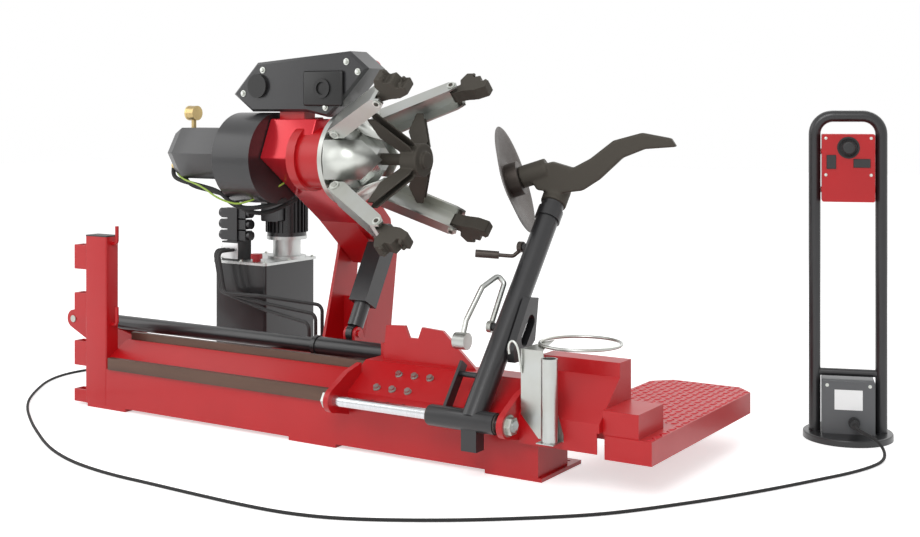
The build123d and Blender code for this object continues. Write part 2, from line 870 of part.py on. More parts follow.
# ---- carriage ----------------------------------------------------------------------------------
saddle_left = 145.0
saddle_right = 813.0
saddle_wall = 6.0
skirt_low = 150.0
shaft_y = -235.0
shaft_z = 180.0
shaft_radius = 17.5
ear_wall = 20.0
ear_radius = 40.0
inner_front = front_rail_front - body_gap
inner_top = ridge_rail_top + body_gap
saddle_back = 46.0
tent_right = 1082.0
tent_wall = 4.0
tent_top = 358.0
tent_front = -172.0
tent_low = 116.0
barrel_radius = 33.0
barrel_left = -150.0
notch_outline = (
    (190.0, inner_top + saddle_wall),
    (203.0, 396.0),
    (279.0, 401.0),
    (296.0, 362.0),
    (332.0, 362.0),
    (347.0, 401.0),
    (430.0, 396.0),
    (560.0, inner_top + saddle_wall),
)
with BuildPart() as carriage:
    with BuildSketch(Plane.YZ.offset(saddle_left)):
        with BuildLine():
            Polyline(
                (inner_front, skirt_low),
                (inner_front, front_rail_top + body_gap),
                (ridge_rail_front, inner_top),
                (bed_back + body_gap, inner_top),
                (bed_back + body_gap, ridge_height - 32),
                (saddle_back, ridge_height - 32),
                (saddle_back, inner_top + saddle_wall),
                (ridge_rail_front - 2, inner_top + saddle_wall),
                (inner_front - saddle_wall, front_rail_top + saddle_wall * 0.6),
                (inner_front - saddle_wall, skirt_low),
                close=True,
            )
        make_face()
    extrude(amount=saddle_right - saddle_left)
    for left in (saddle_left, saddle_right - ear_wall):
        with BuildSketch(Plane.YZ.offset(left)):
            with BuildLine():
                Polyline(
                    (inner_front - 1, 122),
                    (shaft_y, shaft_z - ear_radius),
                    (shaft_y - ear_radius * 0.6, shaft_z + ear_radius * 0.8),
                    (inner_front - 4, 262),
                    (-92, 280),
                    (-92, 246),
                    (inner_front - 1, front_rail_top + 2),
                    close=True,
                )
            make_face()
            with Locations((shaft_y, shaft_z)):
                Circle(ear_radius)
                Circle(shaft_radius + running_fit, mode=Mode.SUBTRACT)
        extrude(amount=ear_wall)
    with BuildSketch(Plane.XZ.offset(4)):
        with BuildLine():
            Polyline(*notch_outline, close=True)
        make_face()
    extrude(amount=-12)
    with BuildSketch(Plane.YZ.offset(saddle_left)):
        with Locations(((saddle_back + drive_y) / 2 + 20, drive_z)):
            Rectangle(drive_y - saddle_back + 40, 84)
        with Locations((drive_y, drive_z)):
            Circle(barrel_radius + body_gap, mode=Mode.SUBTRACT)
    extrude(amount=46)
keep("carriage", carriage)

tent_outline = (
    (tent_front, tent_low),
    (tent_front, 205.0),
    (-32.0, 318.0),
    (-32.0, tent_top),
    (saddle_back, tent_top),
    (saddle_back, tent_low + 62),
)
with BuildPart() as tent_cover:
    with BuildSketch(Plane.YZ.offset(saddle_right)):
        with BuildLine():
            Polyline(*tent_outline, close=True)
        make_face()
    extrude(amount=tent_right - saddle_right)
    with BuildSketch(Plane.YZ.offset(saddle_right - 1)):
        with BuildLine():
            Polyline(
                (tent_front + tent_wall, tent_low - 1),
                (tent_front + tent_wall, 203.0),
                (-32.0 + tent_wall, 316.0),
                (-32.0 + tent_wall, tent_top - tent_wall),
                (saddle_back - tent_wall, tent_top - tent_wall),
                (saddle_back - tent_wall, tent_low - 1),
                close=True,
            )
        make_face()
    extrude(amount=tent_right - saddle_right - tent_wall, mode=Mode.SUBTRACT)
    with BuildSketch(Plane.YZ.offset(tent_right - 2 * tent_wall)):
        with Locations((-60, 80)):
            Rectangle(400, 2 * (tent_low + 62 - 80))
    extrude(amount=20, mode=Mode.SUBTRACT)

strip_thickness = 4.0
with BuildPart() as cover_strip:
    with BuildSketch(Plane.XY.offset(tent_top)):
        with Locations(((saddle_right + tent_right) / 2, (saddle_back - 32) / 2)):
            Rectangle(tent_right - saddle_right, saddle_back + 32)
    extrude(amount=strip_thickness)
keep("tent_cover", tent_cover, cover_strip)

with BuildPart() as drive_barrel:
    with BuildSketch(Plane.YZ.offset(barrel_left)):
        with Locations((drive_y, drive_z)):
            Circle(barrel_radius)
            Circle(rod_tube_radius + running_fit, mode=Mode.SUBTRACT)
    extrude(amount=saddle_left + 200 - barrel_left)
    with BuildSketch(Plane.YZ.offset(barrel_left - 16)):
        with Locations((drive_y, drive_z)):
            Circle(barrel_radius + 4)
            Circle(rod_tube_radius + running_fit, mode=Mode.SUBTRACT)
    extrude(amount=16)
keep("drive_barrel", drive_barrel)

shaft_overhang = 24.0
with BuildPart() as pivot_shaft:
    with BuildSketch(Plane.YZ.offset(saddle_left - shaft_overhang)):
        with Locations((shaft_y, shaft_z)):
            Circle(shaft_radius)
    extrude(amount=saddle_right - saddle_left + 2 * shaft_overhang)
keep("pivot_shaft", pivot_shaft)

# Washers and nuts at the shaft's ends, and the two rows of clamping bolts of the saddle.
bolt_pitch = 61.0
bolt_count = 3
slope_z = inner_top + saddle_wall - (front_rail_top + saddle_wall * 0.6)
slope_y = ridge_rail_front - 2 - inner_front + saddle_wall
slope_run = math.hypot(slope_y, slope_z)
with BuildPart() as carriage_bolts:
    for face, direction in ((saddle_left, -1), (saddle_right, 1)):
        with BuildSketch(Plane.YZ.offset(face)):
            with Locations((shaft_y, shaft_z)):
                Circle(33)
                Circle(shaft_radius + body_gap, mode=Mode.SUBTRACT)
        extrude(amount=direction * 5)
        with BuildSketch(Plane.YZ.offset(face + direction * 5)):
            with Locations((shaft_y, shaft_z)):
                RegularPolygon(28, 6)
                Circle(shaft_radius + body_gap, mode=Mode.SUBTRACT)
        extrude(amount=direction * 15)
    for first, share in ((312.0, 0.66), (264.0, 0.2)):
        foot_y = inner_front - saddle_wall + slope_y * share
        foot_z = front_rail_top + saddle_wall * 0.6 + slope_z * share
        slope = Plane(
            origin=(first, foot_y, foot_z),
            x_dir=(1, 0, 0),
            z_dir=(0, -slope_z / slope_run, slope_y / slope_run),
        )
        for turn in range(bolt_count):
            with BuildSketch(slope):
                with Locations((turn * bolt_pitch, 0)):
                    Circle(13)
            extrude(amount=3)
            with BuildSketch(slope.offset(3)):
                with Locations((turn * bolt_pitch, 0)):
                    RegularPolygon(10.5, 6)
            extrude(amount=9)
keep("carriage_bolts", carriage_bolts)

# Holder for the grease bucket and the lever bar, bolted to the front of the cover.
holder_left = 822.0
holder_sheet = 3.0
holder_top = 402.0
ring_radius = 125.0
ring_rod = 5.0
ring_x = 946.0
ring_y = -24.0
bar_x = 936.0
bar_y = -206.0
bar_radius = 25.0
bar_bore = 20.0
bar_low = 142.0
bar_length = 246.0
holder_front = tent_front - body_gap - holder_sheet
with BuildPart() as bucket_holder:
    with BuildSketch(Plane.XZ.offset(-holder_front)):
        with BuildLine():
            Polyline(
                (holder_left, 205),
                (holder_left, holder_top),
                (holder_left + 74, holder_top),
                (holder_left + 90, 320),
                (bar_x + 30, 160),
                (bar_x + 30, bar_low - holder_sheet),
                (holder_left + 60, bar_low - holder_sheet),
                close=True,
            )
        make_face()
    extrude(amount=-holder_sheet)
    with BuildSketch(Plane.XY.offset(holder_top - holder_sheet)):
        with BuildLine():
            Polyline(
                (holder_left, holder_front),
                (holder_left + 74, holder_front),
                (ring_x - 70, ring_y - 96),
                (ring_x - 112, ring_y + 40),
                (holder_left, -30),
                close=True,
            )
        make_face()
    extrude(amount=holder_sheet)
    with BuildSketch(Plane.XY.offset(bar_low - holder_sheet)):
        with Locations((bar_x, (bar_y - bar_radius - 5 + holder_front) / 2)):
            Rectangle(58, holder_front - bar_y + bar_radius + 5)
    extrude(amount=holder_sheet)
keep("bucket_holder", bucket_holder)

with BuildPart() as bucket_ring:
    with BuildSketch(Plane.XZ.offset(-ring_y)):
        with Locations((ring_x + ring_radius, holder_top + ring_rod)):
            Circle(ring_rod)
    revolve(axis=Axis((ring_x, ring_y, 0), (0, 0, 1)))
keep("bucket_ring", bucket_ring)

with BuildPart() as bar_tube:
    with BuildSketch(Plane.XY.offset(bar_low)):
        with Locations((bar_x, bar_y)):
            Circle(bar_radius)
            Circle(bar_bore, mode=Mode.SUBTRACT)
    extrude(amount=bar_length)
keep("bar_tube", bar_tube)

platform_top = 170.0
platform_skirt = 70.0
platform_sheet = 5.0
platform_outline = (
    (1090.0, -154.0),
    (1240.0, -154.0),
    (1240.0, 650.0),
    (1180.0, 712.0),
    (934.0, 712.0),
    (874.0, 650.0),
    (874.0, 64.0),
    (1090.0, 64.0),
)
with BuildPart() as platform_plate:
    with BuildSketch(Plane.XY.offset(platform_top - platform_skirt)):
        with BuildLine():
            Polyline(*platform_outline, close=True)
        make_face()
        offset(amount=-platform_sheet, mode=Mode.SUBTRACT)
    extrude(amount=platform_skirt)
    with BuildSketch(Plane.XY.offset(platform_top - platform_sheet)):
        with BuildLine():
            Polyline(*platform_outline, close=True)
        make_face()
    extrude(amount=platform_sheet)

with BuildPart() as platform_support:
    with BuildSketch(Plane.XY.offset(platform_top)):
        with Locations(((tent_right + 1197) / 2 + body_gap / 2, -62)):
            Rectangle(1197 - tent_right - body_gap, 176)
    extrude(amount=72)
    with BuildSketch(Plane.XY.offset(platform_top - 1)):
        with Locations(((tent_right + 1197) / 2, -62)):
            Rectangle(1197 - tent_right - 14, 176 - 12)
    extrude(amount=67, mode=Mode.SUBTRACT)
keep("platform_plate", platform_plate, platform_support)

# ---- tool arm on the shaft ---------------------------------------------------------------------
tool_x = 687.0
sleeve_left = 537.0
sleeve_right = 772.0
sleeve_radius = 33.0
bush_outer = 24.0
bush_length = 40.0
tube_radius = 38.0
tube_top = (277.0, 803.0)
tool_run = math.dist((shaft_y, shaft_z), tube_top)
tool_y = (tube_top[0] - shaft_y) / tool_run
tool_z = (tube_top[1] - shaft_z) / tool_run
tab_width = 54.0
tab_low = 90.0


def along_tool(distance):
    """A sketch plane square to the tool arm, this far up from its shaft."""
    return Plane(
        origin=(tool_x, shaft_y + tool_y * distance, shaft_z + tool_z * distance),
        x_dir=(1, 0, 0),
        z_dir=(0, tool_y, tool_z),
    )


with BuildPart() as arm_bushes:
    for left in (sleeve_left, sleeve_right - bush_length):
        with BuildSketch(Plane.YZ.offset(left)):
            with Locations((shaft_y, shaft_z)):
                Circle(bush_outer)
                Circle(shaft_radius + running_fit, mode=Mode.SUBTRACT)
        extrude(amount=bush_length)
    for left in (sleeve_left - 6, sleeve_right + 1):
        with BuildSketch(Plane.YZ.offset(left)):
            with Locations((shaft_y, shaft_z)):
                Circle(bush_outer + 6)
                Circle(shaft_radius + running_fit, mode=Mode.SUBTRACT)
        extrude(amount=5)
keep("arm_bushes", arm_bushes)

latch_pivot_run = 632.0
lever_pivot_run = 325.0
pivot_boss = 12.0
neck_radius = 27.0
neck_depth = 90.0
with BuildPart() as tool_arm:
    with BuildSketch(Plane.YZ.offset(sleeve_left)):
        with Locations((shaft_y, shaft_z)):
            Circle(sleeve_radius)
    extrude(amount=sleeve_right - sleeve_left)
    with BuildSketch(along_tool(0)):
        Circle(tube_radius)
    extrude(amount=tool_run)
    with BuildSketch(Plane.YZ.offset(tool_x - tab_width / 2)):
        with Locations((shaft_y, (shaft_z + tab_low) / 2)):
            Rectangle(46, shaft_z - tab_low)
    extrude(amount=tab_width)
    with BuildSketch(along_tool(tool_run - 62)):
        Circle(tube_radius + 5)
    extrude(amount=40)
    with BuildSketch(Plane.YZ.offset(tool_x - tube_radius - 70)):
        with BuildLine():
            Polyline(
                (shaft_y - 8, shaft_z + 20),
                (shaft_y + 30, shaft_z + 8),
                (shaft_y + tool_y * 190 + 8, shaft_z + tool_z * 190 - 10),
                (shaft_y + tool_y * 190 - 20, shaft_z + tool_z * 190 + 10),
                close=True,
            )
        make_face()
    extrude(amount=10)
    with BuildSketch(Plane.YZ.offset(tool_x - tube_radius - pivot_boss)):
        for distance in (latch_pivot_run, lever_pivot_run):
            with Locations((shaft_y + tool_y * distance, shaft_z + tool_z * distance)):
                Circle(13)
    extrude(amount=40)
    with BuildSketch(Plane.YZ.offset(tool_x - tube_radius - pivot_boss - 17)):
        for distance in (latch_pivot_run, lever_pivot_run):
            with Locations((shaft_y + tool_y * distance, shaft_z + tool_z * distance)):
                Circle(7)
    extrude(amount=40)
    with BuildSketch(Plane.YZ.offset(tool_x - tube_radius - 64)):
        with Locations((shaft_y + tool_y * 150, shaft_z + tool_z * 150)):
            Circle(9)
    extrude(amount=74)
    with BuildSketch(Plane.YZ.offset(sleeve_left - 1)):
        with Locations((shaft_y, shaft_z)):
            Circle(bush_outer + running_fit)
    extrude(amount=sleeve_right - sleeve_left + 2, mode=Mode.SUBTRACT)
    with BuildSketch(along_tool(tool_run - neck_depth)):
        Circle(neck_radius + running_fit)
    extrude(amount=neck_depth + 1, mode=Mode.SUBTRACT)

# The cast bracket on the outer side of the tube, with its oval window.
cast_left = tool_x + tube_radius + body_gap
with BuildPart() as cast_bracket:
    with BuildSketch(Plane.YZ.offset(cast_left)):
        with BuildLine():
            Polyline(
                (shaft_y + tool_y * 230, shaft_z + tool_z * 230 - 20),
                (shaft_y + tool_y * 230 - 10, shaft_z + tool_z * 230 + 20),
                (shaft_y + tool_y * 430 - 30, shaft_z + tool_z * 430 + 16),
                (shaft_y + tool_y * 430 + 26, shaft_z + tool_z * 430 + 10),
                (shaft_y + tool_y * 330 + 66, shaft_z + tool_z * 330 - 44),
                (shaft_y + tool_y * 250 + 40, shaft_z + tool_z * 250 - 36),
                close=True,
            )
        make_face()
        with Locations((shaft_y + tool_y * 330 + 20, shaft_z + tool_z * 330 - 8)):
            SlotOverall(110, 42, rotation=math.degrees(math.atan2(tool_z, tool_y)), mode=Mode.SUBTRACT)
    extrude(amount=26)
keep("tool_arm", tool_arm, cast_bracket)

# Release lever: a bent bar on its pivot, with a roller pad at the lower end.
lever_x = tool_x - tube_radius - pivot_boss - 9
lever_y = shaft_y + tool_y * lever_pivot_run
lever_z = shaft_z + tool_z * lever_pivot_run
lever_bar = 9.0
pad_x = 566.0
with BuildPart() as release_lever:
    with BuildSketch(Plane.YZ.offset(lever_x - 8)):
        with Locations((lever_y, lever_z)):
            Circle(19)
    extrude(amount=16)
    with BuildLine() as lever_path:
        FilletPolyline(
            (lever_x, lever_y + 4, lever_z + 8),
            (lever_x - 6, lever_y + 96, lever_z + 128),
            (lever_x - 26, lever_y + 92, lever_z + 152),
            (lever_x - 44, lever_y + 20, lever_z + 120),
            (pad_x, lever_y - 48, lever_z + 22),
            (pad_x, lever_y - 70, lever_z - 28),
            radius=15,
        )
    with BuildSketch(
        Plane(origin=(lever_x, lever_y + 4, lever_z + 8), z_dir=(-6, 92, 120))
    ):
        Circle(lever_bar)
    sweep(path=lever_path.wires()[0])
    with BuildSketch(Plane.YZ.offset(pad_x - 22)):
        with Locations((lever_y - 74, lever_z - 40)):
            Circle(27)
    extrude(amount=44)
    with BuildSketch(Plane.YZ.offset(lever_x - 20)):
        with Locations((lever_y, lever_z)):
            Circle(7 + running_fit)
    extrude(amount=60, mode=Mode.SUBTRACT)
keep("release_lever", release_lever)

# Latch lever near the top of the tube: it turns on its pin and ends in a round grip.
latch_y = shaft_y + tool_y * latch_pivot_run
latch_z = shaft_z + tool_z * latch_pivot_run
with BuildPart() as latch_lever:
    with BuildSketch(Plane.YZ.offset(lever_x - 8)):
        with Locations((latch_y, latch_z)):
            Circle(18)
    extrude(amount=16)
    with BuildLine() as latch_path:
        FilletPolyline(
            (lever_x - 4, latch_y, latch_z - 12),
            (lever_x - 20, latch_y - 18, latch_z - 30),
            (lever_x - 104, latch_y - 60, latch_z - 24),
            radius=14,
        )
    with BuildSketch(
        Plane(origin=(lever_x - 4, latch_y, latch_z - 12), z_dir=(-16, -18, -18))
    ):
        Circle(6.5)
    sweep(path=latch_path.wires()[0])
    with BuildSketch(
        Plane(
            origin=(lever_x - 62, latch_y - 39, latch_z - 27),
            z_dir=(-84, -42, 6),
        )
    ):
        Circle(13)
    extrude(amount=78)
    with BuildSketch(Plane.YZ.offset(lever_x - 10)):
        with Locations((latch_y, latch_z)):
            Circle(7 + running_fit)
    extrude(amount=60, mode=Mode.SUBTRACT)
keep("latch_lever", latch_lever)

# ---- tool head: turns on the tube's end; its frame is square to the tube --------------------------
head_yaw = 18.0
head_base = tool_run + running_gap
hub_centre = (694.0, 268.0, 868.0)
disc_centre = (560.0, 246.0, 886.0)
disc_normal = (-0.90, -0.30, -0.31)
bead_radius = 188.0
stub_radius = 24.0
yaw = math.radians(head_yaw)
hook_plane = Plane(
    origin=(hub_centre[0], hub_centre[1] + 16, 0),
    x_dir=(math.cos(yaw), math.sin(yaw), 0),
    z_dir=(math.sin(yaw), -math.cos(yaw), 0),
)
hook_outline = (
    (-60.0, 852.0),
    (-88.0, 892.0),
    (-70.0, 930.0),
    (-10.0, 948.0),
    (60.0, 928.0),
    (120.0, 960.0),
    (196.0, 1020.0),
    (290.0, 1046.0),
    (386.0, 1028.0),
    (404.0, 1000.0),
    (300.0, 992.0),
    (226.0, 962.0),
    (150.0, 890.0),
    (92.0, 852.0),
    (30.0, 844.0),
)
disc_plane = Plane(origin=disc_centre, z_dir=disc_normal)
with BuildPart() as tool_head:
    with BuildSketch(hook_plane.offset(-24)):
        with BuildLine():
            Polyline(*hook_outline, close=True)
        make_face()
    extrude(amount=48)
    with BuildSketch(along_tool(head_base)):
        Circle(tube_radius + 6)
    extrude(amount=70)
    with BuildSketch(along_tool(tool_run - neck_depth + 2)):
        Circle(neck_radius)
    extrude(amount=neck_depth + 10)
    with BuildSketch(disc_plane.offset(-22)):
        Circle(stub_radius + 14)
    extrude(amount=-96)
    with BuildSketch(disc_plane.offset(-40)):
        Circle(stub_radius)
    extrude(amount=52)
keep("tool_head", tool_head)

# Shallow dish with a bevelled edge, free to spin on the stub of the tool head.
dish_depth = 26.0
dish_wall = 7.0
with BuildPart() as bead_disc:
    with BuildSketch(disc_plane.offset(-21.7)):
        Circle(58)
    extrude(amount=22)
    with BuildSketch(disc_plane):
        Circle(bead_radius)
    with BuildSketch(disc_plane.offset(dish_depth)):
        Circle(bead_radius - 96)
    loft()
    with BuildSketch(disc_plane.offset(-1)):
        Circle(bead_radius - 10)
        Circle(58, mode=Mode.SUBTRACT)
    with BuildSketch(disc_plane.offset(dish_depth - dish_wall)):
        Circle(bead_radius - 104)
        Circle(58, mode=Mode.SUBTRACT)
    loft(mode=Mode.SUBTRACT)
    with BuildSketch(disc_plane.offset(-60)):
        Circle(stub_radius + running_fit)
    extrude(amount=60 + 13, mode=Mode.SUBTRACT)
keep("bead_disc", bead_disc)

# ---- control stand -----------------------------------------------------------------------------
stand_x = 1494.0
stand_y = 905.0
stand_yaw = math.radians(19.0)
stand_base_radius = 150.0
stand_base_height = 22.0
stand_height = 1120.0
loop_width = 260.0
loop_tube = 20.0
loop_corner = 62.0
box_width = 174.0
box_low = 808.0
box_high = 1039.0
box_depth = 84.0
half_span = loop_width / 2 - 2 * loop_tube
stand_floor = Plane(
    origin=(stand_x, stand_y, 0),
    x_dir=(math.cos(stand_yaw), math.sin(stand_yaw), 0),
    z_dir=(0, 0, 1),
)
# The stand's front: its second axis points up and its normal points at the operator's side.
stand_front = Plane(
    origin=(stand_x, stand_y, 0),
    x_dir=(math.cos(stand_yaw), math.sin(stand_yaw), 0),
    z_dir=(math.sin(stand_yaw), -math.cos(stand_yaw), 0),
)
stand_side = Plane(
    origin=(stand_x, stand_y, 0),
    x_dir=(-math.sin(stand_yaw), math.cos(stand_yaw), 0),
    z_dir=(math.cos(stand_yaw), math.sin(stand_yaw), 0),
)


def on_front(across, up, out=0.0):
    """A point of the stand given across its width, up and out towards the operator."""
    return stand_front.from_local_coords(Vector(across, up, out))


with BuildPart() as console_base:
    with BuildSketch(stand_floor):
        Circle(stand_base_radius)
    extrude(amount=stand_base_height)
    fillet(console_base.faces().sort_by(Axis.Z)[-1].edges(), 5)
keep("console_base", console_base)

loop_half = loop_width / 2 - loop_tube
with BuildPart() as console_frame:
    with BuildLine() as loop_path:
        FilletPolyline(
            on_front(-loop_half, stand_base_height),
            on_front(-loop_half, stand_height - loop_tube),
            on_front(loop_half, stand_height - loop_tube),
            on_front(loop_half, stand_base_height),
            radius=loop_corner,
        )
    with BuildSketch(stand_floor.offset(stand_base_height)):
        with Locations((-loop_half, 0)):
            Circle(loop_tube)
    sweep(path=loop_path.wires()[0])
    with BuildSketch(stand_side.offset(-loop_half)):
        with Locations((0, 222)):
            Circle(13)
    extrude(amount=2 * loop_half)
keep("console_frame", console_frame)

box_front = box_depth / 2
stick_up = 993.0
well_radius = 32.0
well_depth = 30.0
rocker_travel = 8.0
rocker_specs = (
    ("rocker_left", -56.0, 944.0, 30.0, 46.0),
    ("rocker_right", 44.0, 940.0, 54.0, 28.0),
)
gimbal_depth = 14.0
gimbal_radius = 31.2
ball_radius = 14.6
with BuildPart() as control_box:
    with BuildSketch(stand_front.offset(-box_depth / 2)):
        with Locations((0, (box_low + box_high) / 2)):
            RectangleRounded(box_width, box_high - box_low, 6)
    extrude(amount=box_depth)
    with BuildSketch(stand_side.offset(-(half_span - body_gap))):
        for up in (box_low + 40, box_high - 60):
            with Locations((0, up)):
                Circle(10)
    extrude(amount=2 * (half_span - body_gap))
    with BuildSketch(stand_front.offset(box_front - well_depth)):
        with Locations((0, stick_up)):
            Circle(well_radius)
    extrude(amount=well_depth + 1, mode=Mode.SUBTRACT)
    for name, across, up, width, height in rocker_specs:
        with BuildSketch(stand_front.offset(box_front - 12)):
            with Locations((across, up)):
                Rectangle(width + 1.6, height + 1.6)
        extrude(amount=14, mode=Mode.SUBTRACT)
keep("control_box", control_box)

stick_out = box_front - gimbal_depth
with BuildPart() as joystick_gimbal:
    with BuildSketch(stand_front.offset(stick_out - 4)):
        with Locations((0, stick_up)):
            Circle(gimbal_radius)
            Circle(15, mode=Mode.SUBTRACT)
    extrude(amount=8)
keep("joystick_gimbal", joystick_gimbal)

with BuildPart() as joystick:
    with Locations(Plane(origin=on_front(0, stick_up, stick_out))):
        Sphere(ball_radius)
    with BuildSketch(stand_front.offset(stick_out + 9)):
        with Locations((0, stick_up)):
            Circle(8)
    extrude(amount=14)
    with BuildSketch(stand_front.offset(stick_out + 22)):
        with Locations((0, stick_up)):
            Circle(21)
    extrude(amount=22)
    fillet(joystick.faces().sort_by(Axis(stand_front.origin, stand_front.z_dir))[-1].edges(), 6)
keep("joystick", joystick)

for name, across, up, width, height in rocker_specs:
    with BuildPart() as rocker:
        with BuildSketch(stand_front.offset(box_front - 9.5)):
            with Locations((across, up)):
                Rectangle(width, height)
        extrude(amount=13)
        with BuildSketch(stand_front.offset(box_front - 12 + body_gap)):
            with Locations((across, up)):
                Rectangle(3, height - 20) if width > height else Rectangle(width - 10, 3)
        extrude(amount=4)
    keep(name, rocker)

junction_width = 174.0
junction_height = 178.0
junction_depth = 104.0
connector_up = 62.0
connector_across = 18.0
junction_front = junction_depth / 2
with BuildPart() as junction_box:
    with BuildSketch(stand_front.offset(-junction_depth / 2)):
        with Locations((0, stand_base_height + junction_height / 2)):
            RectangleRounded(junction_width, junction_height, 5)
    extrude(amount=junction_depth)
keep("junction_box", junction_box)

# Round connector low on the junction box; the cable leaves it towards the operator's side.
gland_radius = 15.0
gland_length = 44.0
with BuildPart() as cord_gland:
    with BuildSketch(stand_front.offset(junction_front)):
        with Locations((connector_across, connector_up)):
            Circle(gland_radius + 4)
    extrude(amount=14)
    with BuildSketch(stand_front.offset(junction_front + 14)):
        with Locations((connector_across, connector_up)):
            Circle(gland_radius)
    extrude(amount=gland_length - 14)

machine_gland_y = 620.0
machine_gland_z = 110.0
machine_gland_length = 34.0
with BuildPart() as machine_gland:
    with BuildSketch(Plane.YZ.offset(tank_left - machine_gland_length)):
        with Locations((machine_gland_y, machine_gland_z)):
            Circle(14)
    extrude(amount=machine_gland_length)
keep("cord_glands", cord_gland, machine_gland)

# ---- control cable: straight runs joined by tangent arcs, lying on the floor ---------------------
cord_radius = 5.0
floor_z = 5.2
gland_end = on_front(connector_across, connector_up, junction_front + gland_length)
cord_points = [
    (tank_left - machine_gland_length, machine_gland_y, machine_gland_z),
    (-1088, 620, 108),
    (-1136, 618, 84),
    (-1178, 614, 44),
    (-1226, 610, 16),
    (-1290, 601, floor_z),
    (-1388, 574, floor_z),
    (-1480, 519, floor_z),
    (-1560, 432, floor_z),
    (-1608, 312, floor_z),
    (-1610, 193, floor_z),
    (-1561, 70, floor_z),
    (-1488, -32, floor_z),
    (-1401, -141, floor_z),
    (-1321, -228, floor_z),
    (-1215, -321, floor_z),
    (-1110, -399, floor_z),
    (-993, -481, floor_z),
    (-885, -550, floor_z),
    (-778, -617, floor_z),
    (-656, -684, floor_z),
    (-521, -738, floor_z),
    (-401, -769, floor_z),
    (-257, -790, floor_z),
    (-114, -795, floor_z),
    (4, -802, floor_z),
    (137, -808, floor_z),
    (273, -813, floor_z),
    (417, -809, floor_z),
    (548, -782, floor_z),
    (655, -736, floor_z),
    (768, -673, floor_z),
    (876, -603, floor_z),
    (979, -525, floor_z),
    (1090, -433, floor_z),
    (1179, -347, floor_z),
    (1252, -252, floor_z),
    (1324, -144, floor_z),
    (1396, -31, floor_z),
    (1467, 94, floor_z),
    (1528, 211, floor_z),
    (1581, 320, floor_z),
    (1634, 428, floor_z),
    (1672, 536, floor_z),
    (1686, 628, floor_z),
    (1676, 696, 14),
    (1646, 739, 36),
    (1602, 752, 54),
    (gland_end.X + 16, gland_end.Y - 46.5, connector_up),
    (gland_end.X, gland_end.Y, connector_up),
]


def corner_radius(before, corner, after):
    """The arc that rounds one corner of the cable's route."""
    first = Vector(*corner) - Vector(*before)
    second = Vector(*after) - Vector(*corner)
    turn = math.radians(first.get_angle(second))
    return 0.45 * min(first.length, second.length) / math.tan(turn / 2)


cord_radii = [
    corner_radius(*cord_points[index - 1 : index + 2]) for index in range(1, len(cord_points) - 1)
]
print("cable radii", " ".join(f"{radius:.0f}" for radius in cord_radii))
with BuildPart() as control_cord:
    with BuildLine() as cord_path:
        FilletPolyline(*cord_points, radius=cord_radii)
    with BuildSketch(Plane.YZ.offset(cord_points[0][0])):
        with Locations(cord_points[0][1:]):
            Circle(cord_radius)
    sweep(path=cord_path.wires()[0])
cord_length = cord_path.wires()[0].length
print(f"cable length {cord_length:.0f}")
print(f"cable volume {control_cord.part.volume / (math.pi * cord_radius**2 * cord_length):.4f}")
keep("control_cord", control_cord)

for label, piece in pieces.items():
    export_step(piece, f"parts/{label}.step")
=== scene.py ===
"""Looks of a heavy-duty truck tyre changer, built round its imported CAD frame. Metres, +Z up."""

import json
import math

import bmesh
import bpy
from mathutils import Matrix, Vector


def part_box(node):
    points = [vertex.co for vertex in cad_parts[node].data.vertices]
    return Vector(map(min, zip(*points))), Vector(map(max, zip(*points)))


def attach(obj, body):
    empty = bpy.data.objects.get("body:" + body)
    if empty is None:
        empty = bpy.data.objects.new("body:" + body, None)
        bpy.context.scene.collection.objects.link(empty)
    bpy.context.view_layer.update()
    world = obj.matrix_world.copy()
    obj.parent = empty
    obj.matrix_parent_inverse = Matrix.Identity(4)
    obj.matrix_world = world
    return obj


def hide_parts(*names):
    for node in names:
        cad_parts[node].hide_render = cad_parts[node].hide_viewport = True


bl_info = {
    "name": "Truck Tyre Changer",
    "version": (1, 0, 0),
    "blender": (4, 5, 0),
    "location": "View3D > Sidebar > Tyre Changer",
    "description": "Finishes, fasteners, hoses and cable of a truck tyre changer",
    "category": "Object",
}

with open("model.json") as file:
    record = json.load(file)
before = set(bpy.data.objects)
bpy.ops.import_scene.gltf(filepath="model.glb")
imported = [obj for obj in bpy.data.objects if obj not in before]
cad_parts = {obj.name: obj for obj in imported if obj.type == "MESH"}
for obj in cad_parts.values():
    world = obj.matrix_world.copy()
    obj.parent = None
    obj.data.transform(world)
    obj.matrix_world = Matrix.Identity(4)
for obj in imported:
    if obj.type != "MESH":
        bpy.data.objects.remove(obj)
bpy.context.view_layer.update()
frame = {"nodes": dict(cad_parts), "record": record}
nodes = frame["nodes"]

